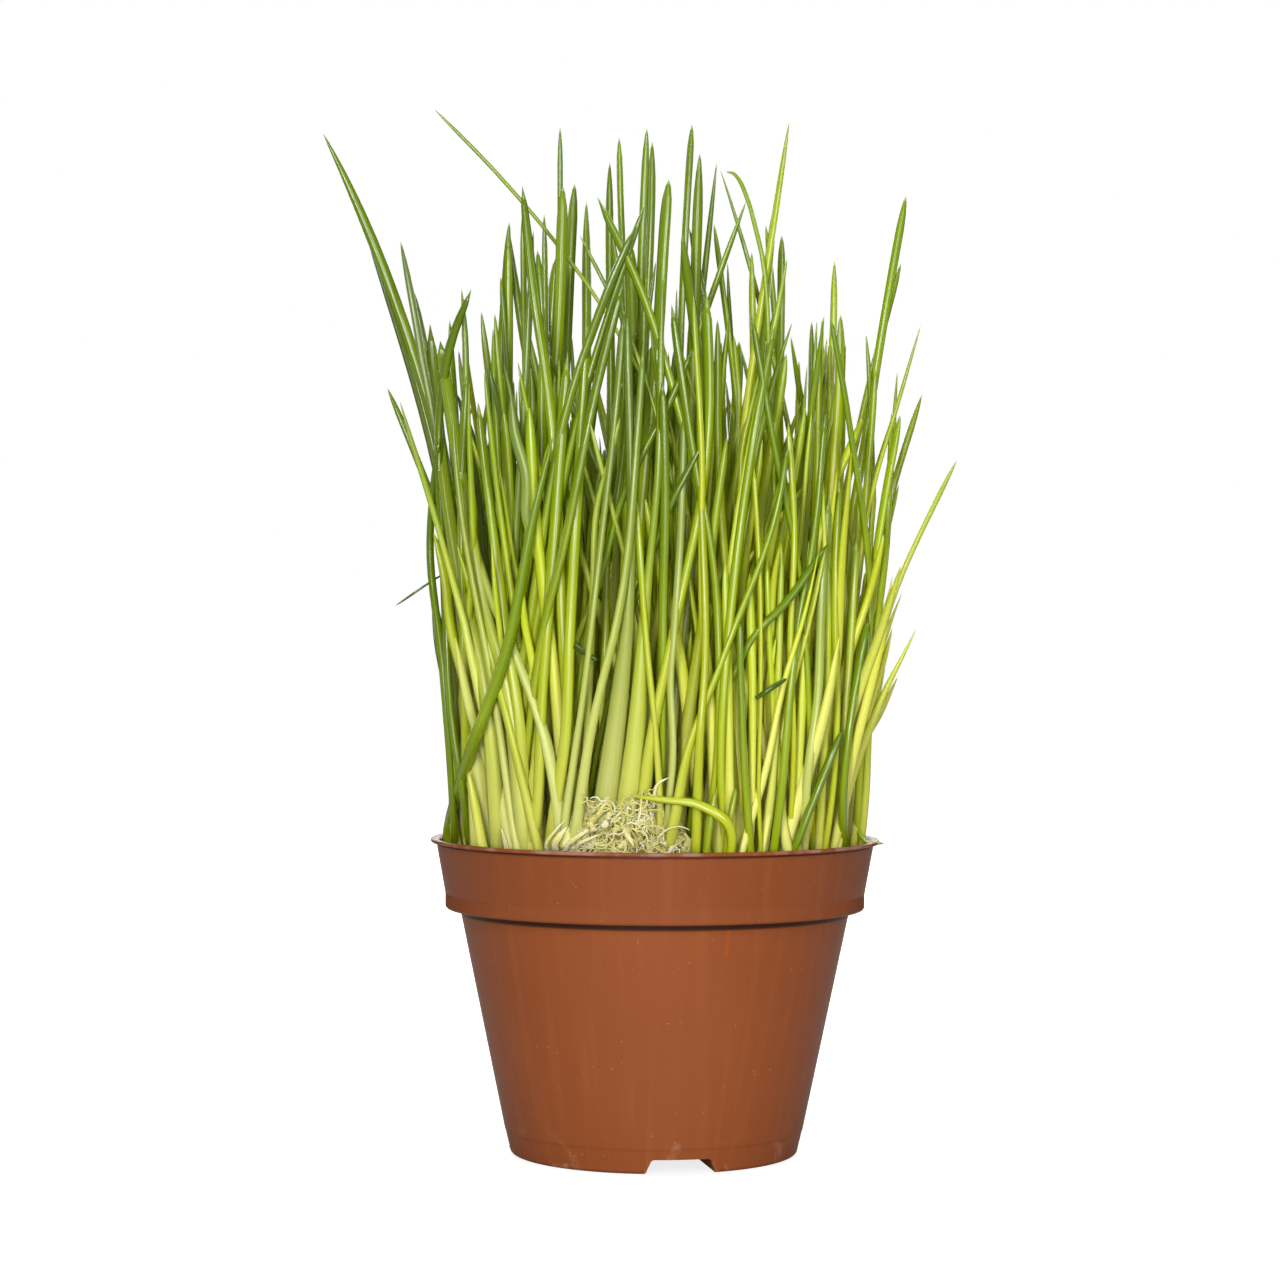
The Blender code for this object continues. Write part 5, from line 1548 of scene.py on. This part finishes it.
# Front leaves. The stalks and leaves that show most at the front, each where it stands in the bunch:
# they grow out of the compost like the others and lie on the bunch's round front or a little behind it.
FRONT_LEAVES = (
    # points as seen (x, z), how far inside at the foot and the tip, radius at the foot and above, tip
    # length, paleness at the foot and the tip, hue, lightness
    (((-45, 84), (-46, 98), (-48, 122), (-51, 143), (-57, 165), (-63, 205), (-66, 240)),
     3, 4, 2.5, 1.8, 16, 0.92, 0.15, 0.22, 0.92),
    (((-38, 84), (-39, 98), (-43, 132), (-50, 158), (-55, 185), (-60, 215), (-63, 235)),
     2, 3, 2.5, 1.7, 12, 0.92, 0.2, 0.2, 0.95),
    (((-33, 84), (-35, 93), (-42, 121), (-47, 140), (-53, 165), (-58, 200)),
     1, 2, 1.8, 1.3, 10, 0.9, 0.25, 0.4, 0.92),
    (((-27, 84), (-28, 100), (-33, 123), (-42, 147), (-49, 163), (-56, 188), (-60, 222)),
     4, 3.6, 2.3, 1.5, 14, 1.0, 0.3, 0.05, 1.05),
    (((-59, 84), (-60, 94), (-52.5, 119), (-48, 131), (-42, 150), (-36, 182), (-30, 208)),
     0, -1.5, 1.2, 1.7, 70, 0.42, 0.15, 0.6, 0.95),
    (((-58, 84), (-59, 103), (-62, 141), (-65.5, 170), (-65, 190), (-63, 207)),
     2, 2, 1.0, 1.0, 14, 0.34, 0.1, 0.5, 0.85),
    (((-53, 84), (-56, 104), (-60, 131), (-61.5, 165), (-63.4, 198), (-63, 216), (-60, 234), (-54, 250)),
     3, 2, 1.6, 1.25, 24, 0.34, 0.08, 0.6, 0.85),
    (((-27, 84), (-26, 96), (-21, 132), (-18.6, 153), (-15.7, 180), (-12, 215), (-10, 243)),
     2, 2, 1.35, 1.1, 14, 0.95, 0.15, 0.08, 1.0),
    (((-25, 84), (-23, 93), (-19.4, 118), (-15.6, 136), (-11.5, 153), (-8.2, 174), (-6, 202), (-4, 235)),
     2, 0.5, 1.6, 1.2, 14, 0.98, 0.2, 0.1, 1.02),
    (((-31, 84), (-29, 100), (-26, 122), (-25, 151), (-23, 189), (-20, 240)),
     3, 5, 1.8, 1.4, 16, 0.9, 0.15, 0.4, 0.92),
    (((-36, 84), (-34, 103), (-33, 132), (-31, 160), (-29, 189), (-26, 232)),
     3, 5, 2.1, 1.5, 16, 0.88, 0.15, 0.3, 0.92),
    (((-4, 96), (-1, 121), (5, 151), (9, 170), (12.7, 189), (15, 215), (14, 250)),
     8, 2, 2.2, 1.5, 14, 0.85, 0.15, 0.45, 0.95),
    (((4, 88), (6, 98), (10, 118), (18.4, 140), (24, 155), (31.7, 175), (35.5, 189), (38, 205)),
     4, 0, 1.7, 1.0, 12, 0.85, 0.1, 0.45, 0.95),
    (((11.8, 84), (12.7, 117), (14.2, 140), (14.2, 160), (13, 190), (12, 225)),
     1.5, 3, 1.5, 1.0, 12, 0.66, 0.2, 0.9, 0.95),
    (((3, 92), (5, 115), (4.2, 136), (5.2, 151), (7, 180), (8, 216)),
     6, 4, 1.3, 1.0, 10, 0.9, 0.3, 0.05, 0.98),
    (((1, 92), (1.5, 99), (0, 122), (-3, 150), (-6, 190)), 7, 4, 1.3, 1.0, 10, 0.92, 0.4, 0.5, 0.95),
    (((28, 84), (26, 110), (24.5, 141), (24.2, 154)), 1, 1, 1.1, 1.1, 8, 0.5, 0.12, 0.6, 0.95),
    (((34, 84), (37, 108), (39, 132), (42, 156), (46, 180), (49, 215)),
     1.5, 2, 1.1, 1.0, 10, 0.42, 0.1, 0.55, 0.95),
    (((39, 84), (40, 120), (39, 147), (40, 180), (38, 212)), 3, 3, 0.9, 0.85, 10, 0.62, 0.3, 1.0, 1.0),
    (((31, 84), (30, 104), (30.4, 132), (30, 165), (28, 200)), 2, 3, 0.75, 0.7, 10, 0.62, 0.35, 1.0, 1.0),
    (((55, 84), (54.6, 104), (57.5, 132), (61.7, 155)), 0.5, 0, 1.3, 1.3, 9, 0.42, 0.1, 0.6, 0.95),
    (((59, 84), (61, 104), (62, 127), (64, 151), (67, 180), (68, 215)),
     2, 2, 1.2, 1.0, 12, 0.85, 0.2, 0.25, 1.0),
    (((43, 84), (44, 108), (47, 132), (48, 158), (50, 190)), 2, 2, 1.5, 1.2, 10, 0.88, 0.3, 0.08, 0.98),
    (((49, 84), (51.8, 108), (52.7, 132), (51.8, 160), (53, 195)),
     1.5, 2, 1.1, 1.0, 10, 0.72, 0.25, 0.9, 1.0),
    (((8, 84), (13, 112), (17.5, 128), (22.3, 138), (28.5, 150), (38.5, 160.5), (50, 177)),
     14, -1.0, 0.9, 1.15, 18, 0.5, 0.04, 0.6, 0.9),
    (((-43, 84), (-40, 110), (-35, 150), (-23.4, 210), (-12, 250), (-3.7, 275)),
     8, 5, 1.3, 1.2, 18, 0.8, 0.08, 0.4, 0.85),
    (((-46, 84), (-42, 120), (-36, 158), (-27.9, 208), (-17, 243), (-6.2, 269)),
     7, 3, 1.2, 1.2, 16, 0.8, 0.06, 0.5, 0.8),
    (((-40, 84), (-37, 120), (-33, 150), (-26.6, 177), (-18, 220), (-10, 252)),
     6, 0, 1.2, 1.2, 18, 0.75, 0.05, 0.6, 0.8),
    (((25, 84), (22, 120), (18, 160), (9.7, 202), (-3, 245), (-17.7, 277)),
     8, 4, 1.2, 1.2, 18, 0.8, 0.1, 0.55, 1.0),
    (((18, 84), (12, 150), (2, 205), (-8, 236), (-22.8, 266)), 12, 7, 0.8, 0.7, 16, 0.7, 0.15, 0.65, 1.0),
    (((-22, 84), (-24, 110), (-27, 150), (-30, 207), (-36, 250), (-39.4, 280)),
     8, 4, 1.4, 1.4, 24, 0.85, 0.05, 0.35, 0.9),
    (((-30, 84), (-26, 110), (-20, 150), (-14, 175), (-8.2, 194), (3, 216), (10.3, 233)),
     14, 2, 0.9, 0.9, 14, 0.6, 0.05, 0.5, 0.85),
    (((-20, 84), (-18, 110), (-9, 150), (-2, 172), (4.6, 189), (14, 207)),
     16, 1, 0.85, 0.95, 14, 0.5, 0.04, 0.6, 0.8),
    # Painted highlight: this leaf and the next are real leaves, drawn pale and lighter along the whitish
    # highlight streaks that lie on them.
    (((4, 84), (2, 110), (-2, 140), (-9, 172), (-12.3, 184), (-15.5, 196), (-19.6, 212)),
     20, 0, 0.8, 0.85, 14, 0.6, 0.5, 0.15, 1.15),
    (((-21, 84), (-20, 120), (-18.3, 162), (-17.5, 185), (-13.5, 201), (-10.7, 213)),
     9, 1, 0.9, 1.0, 18, 0.8, 0.42, 0.15, 1.1),
    (((35, 84), (36, 150), (33, 210), (31.5, 251), (27.8, 270), (25.6, 277.3), (23.7, 281.6), (21.8, 283.8),
      (19.6, 284.3)), 20, 20, 0.8, 0.6, 8, 0.6, 0.22, 0.3, 1.15),
    (((2, 84), (2, 120), (2, 160), (2.4, 190), (1.4, 224)), 12, 0.3, 1.2, 1.4, 18, 0.6, 0.08, 0.6, 0.85),
    (((-54, 84), (-55, 120), (-56.5, 172), (-56.5, 200), (-55.3, 225)),
     4, 3, 2.0, 1.5, 18, 0.9, 0.12, 0.45, 0.9),
    (((-38, 84), (-39, 120), (-43.8, 153), (-48, 185), (-52, 217)),
     4, 1.5, 1.9, 1.4, 14, 0.95, 0.2, 0.25, 0.95),
    (((20, 84), (19, 120), (22, 160), (27, 200), (34, 240)), 3, 3, 1.1, 1.1, 14, 0.7, 0.08, 0.7, 0.95),
    (((14, 84), (18, 120), (17, 165), (10, 205), (4, 246)), 6, 1.5, 1.1, 1.1, 14, 0.7, 0.06, 0.5, 0.85),
    (((46, 84), (45, 120), (42, 165), (34, 205), (27, 244)), 5, 3, 1.0, 1.05, 14, 0.6, 0.05, 0.5, 0.85),
    (((58, 84), (60, 125), (62, 165), (56, 210), (50, 243)), 3, 3, 1.0, 1.0, 12, 0.7, 0.1, 0.4, 0.95),
    (((22, 84), (21.5, 105), (21, 135), (20, 172)), 3, 5, 1.7, 1.2, 14, 1.0, 0.45, 0.3, 1.05),
    (((27, 84), (28, 105), (28, 135), (27, 168)), 4, 5, 1.7, 1.2, 14, 1.0, 0.45, 0.5, 1.05),
    (((31, 84), (34, 108), (35.5, 140), (36, 178)), 5, 5, 1.7, 1.2, 12, 0.95, 0.4, 0.2, 1.05),
    (((38, 84), (36, 108), (33.5, 140), (32, 172)), 6, 5, 1.6, 1.1, 12, 0.95, 0.4, 0.6, 1.05),
    (((41, 84), (41.5, 110), (43, 140), (45, 176)), 5, 5, 1.7, 1.2, 12, 0.95, 0.4, 0.3, 1.05),
    (((47, 84), (48.5, 110), (49.5, 140), (50, 172)), 4, 4, 1.7, 1.2, 12, 0.95, 0.4, 0.45, 1.05),
    (((52, 84), (54, 112), (56, 142), (58, 178)), 4, 4, 1.7, 1.2, 12, 0.95, 0.4, 0.2, 1.05),
)
front_rows = [(on_front(seen, np.linspace(foot_inset, tip_inset, len(seen))), *rest)
              for seen, foot_inset, tip_inset, *rest in FRONT_LEAVES]
drawn_leaves("front_leaves", front_rows)
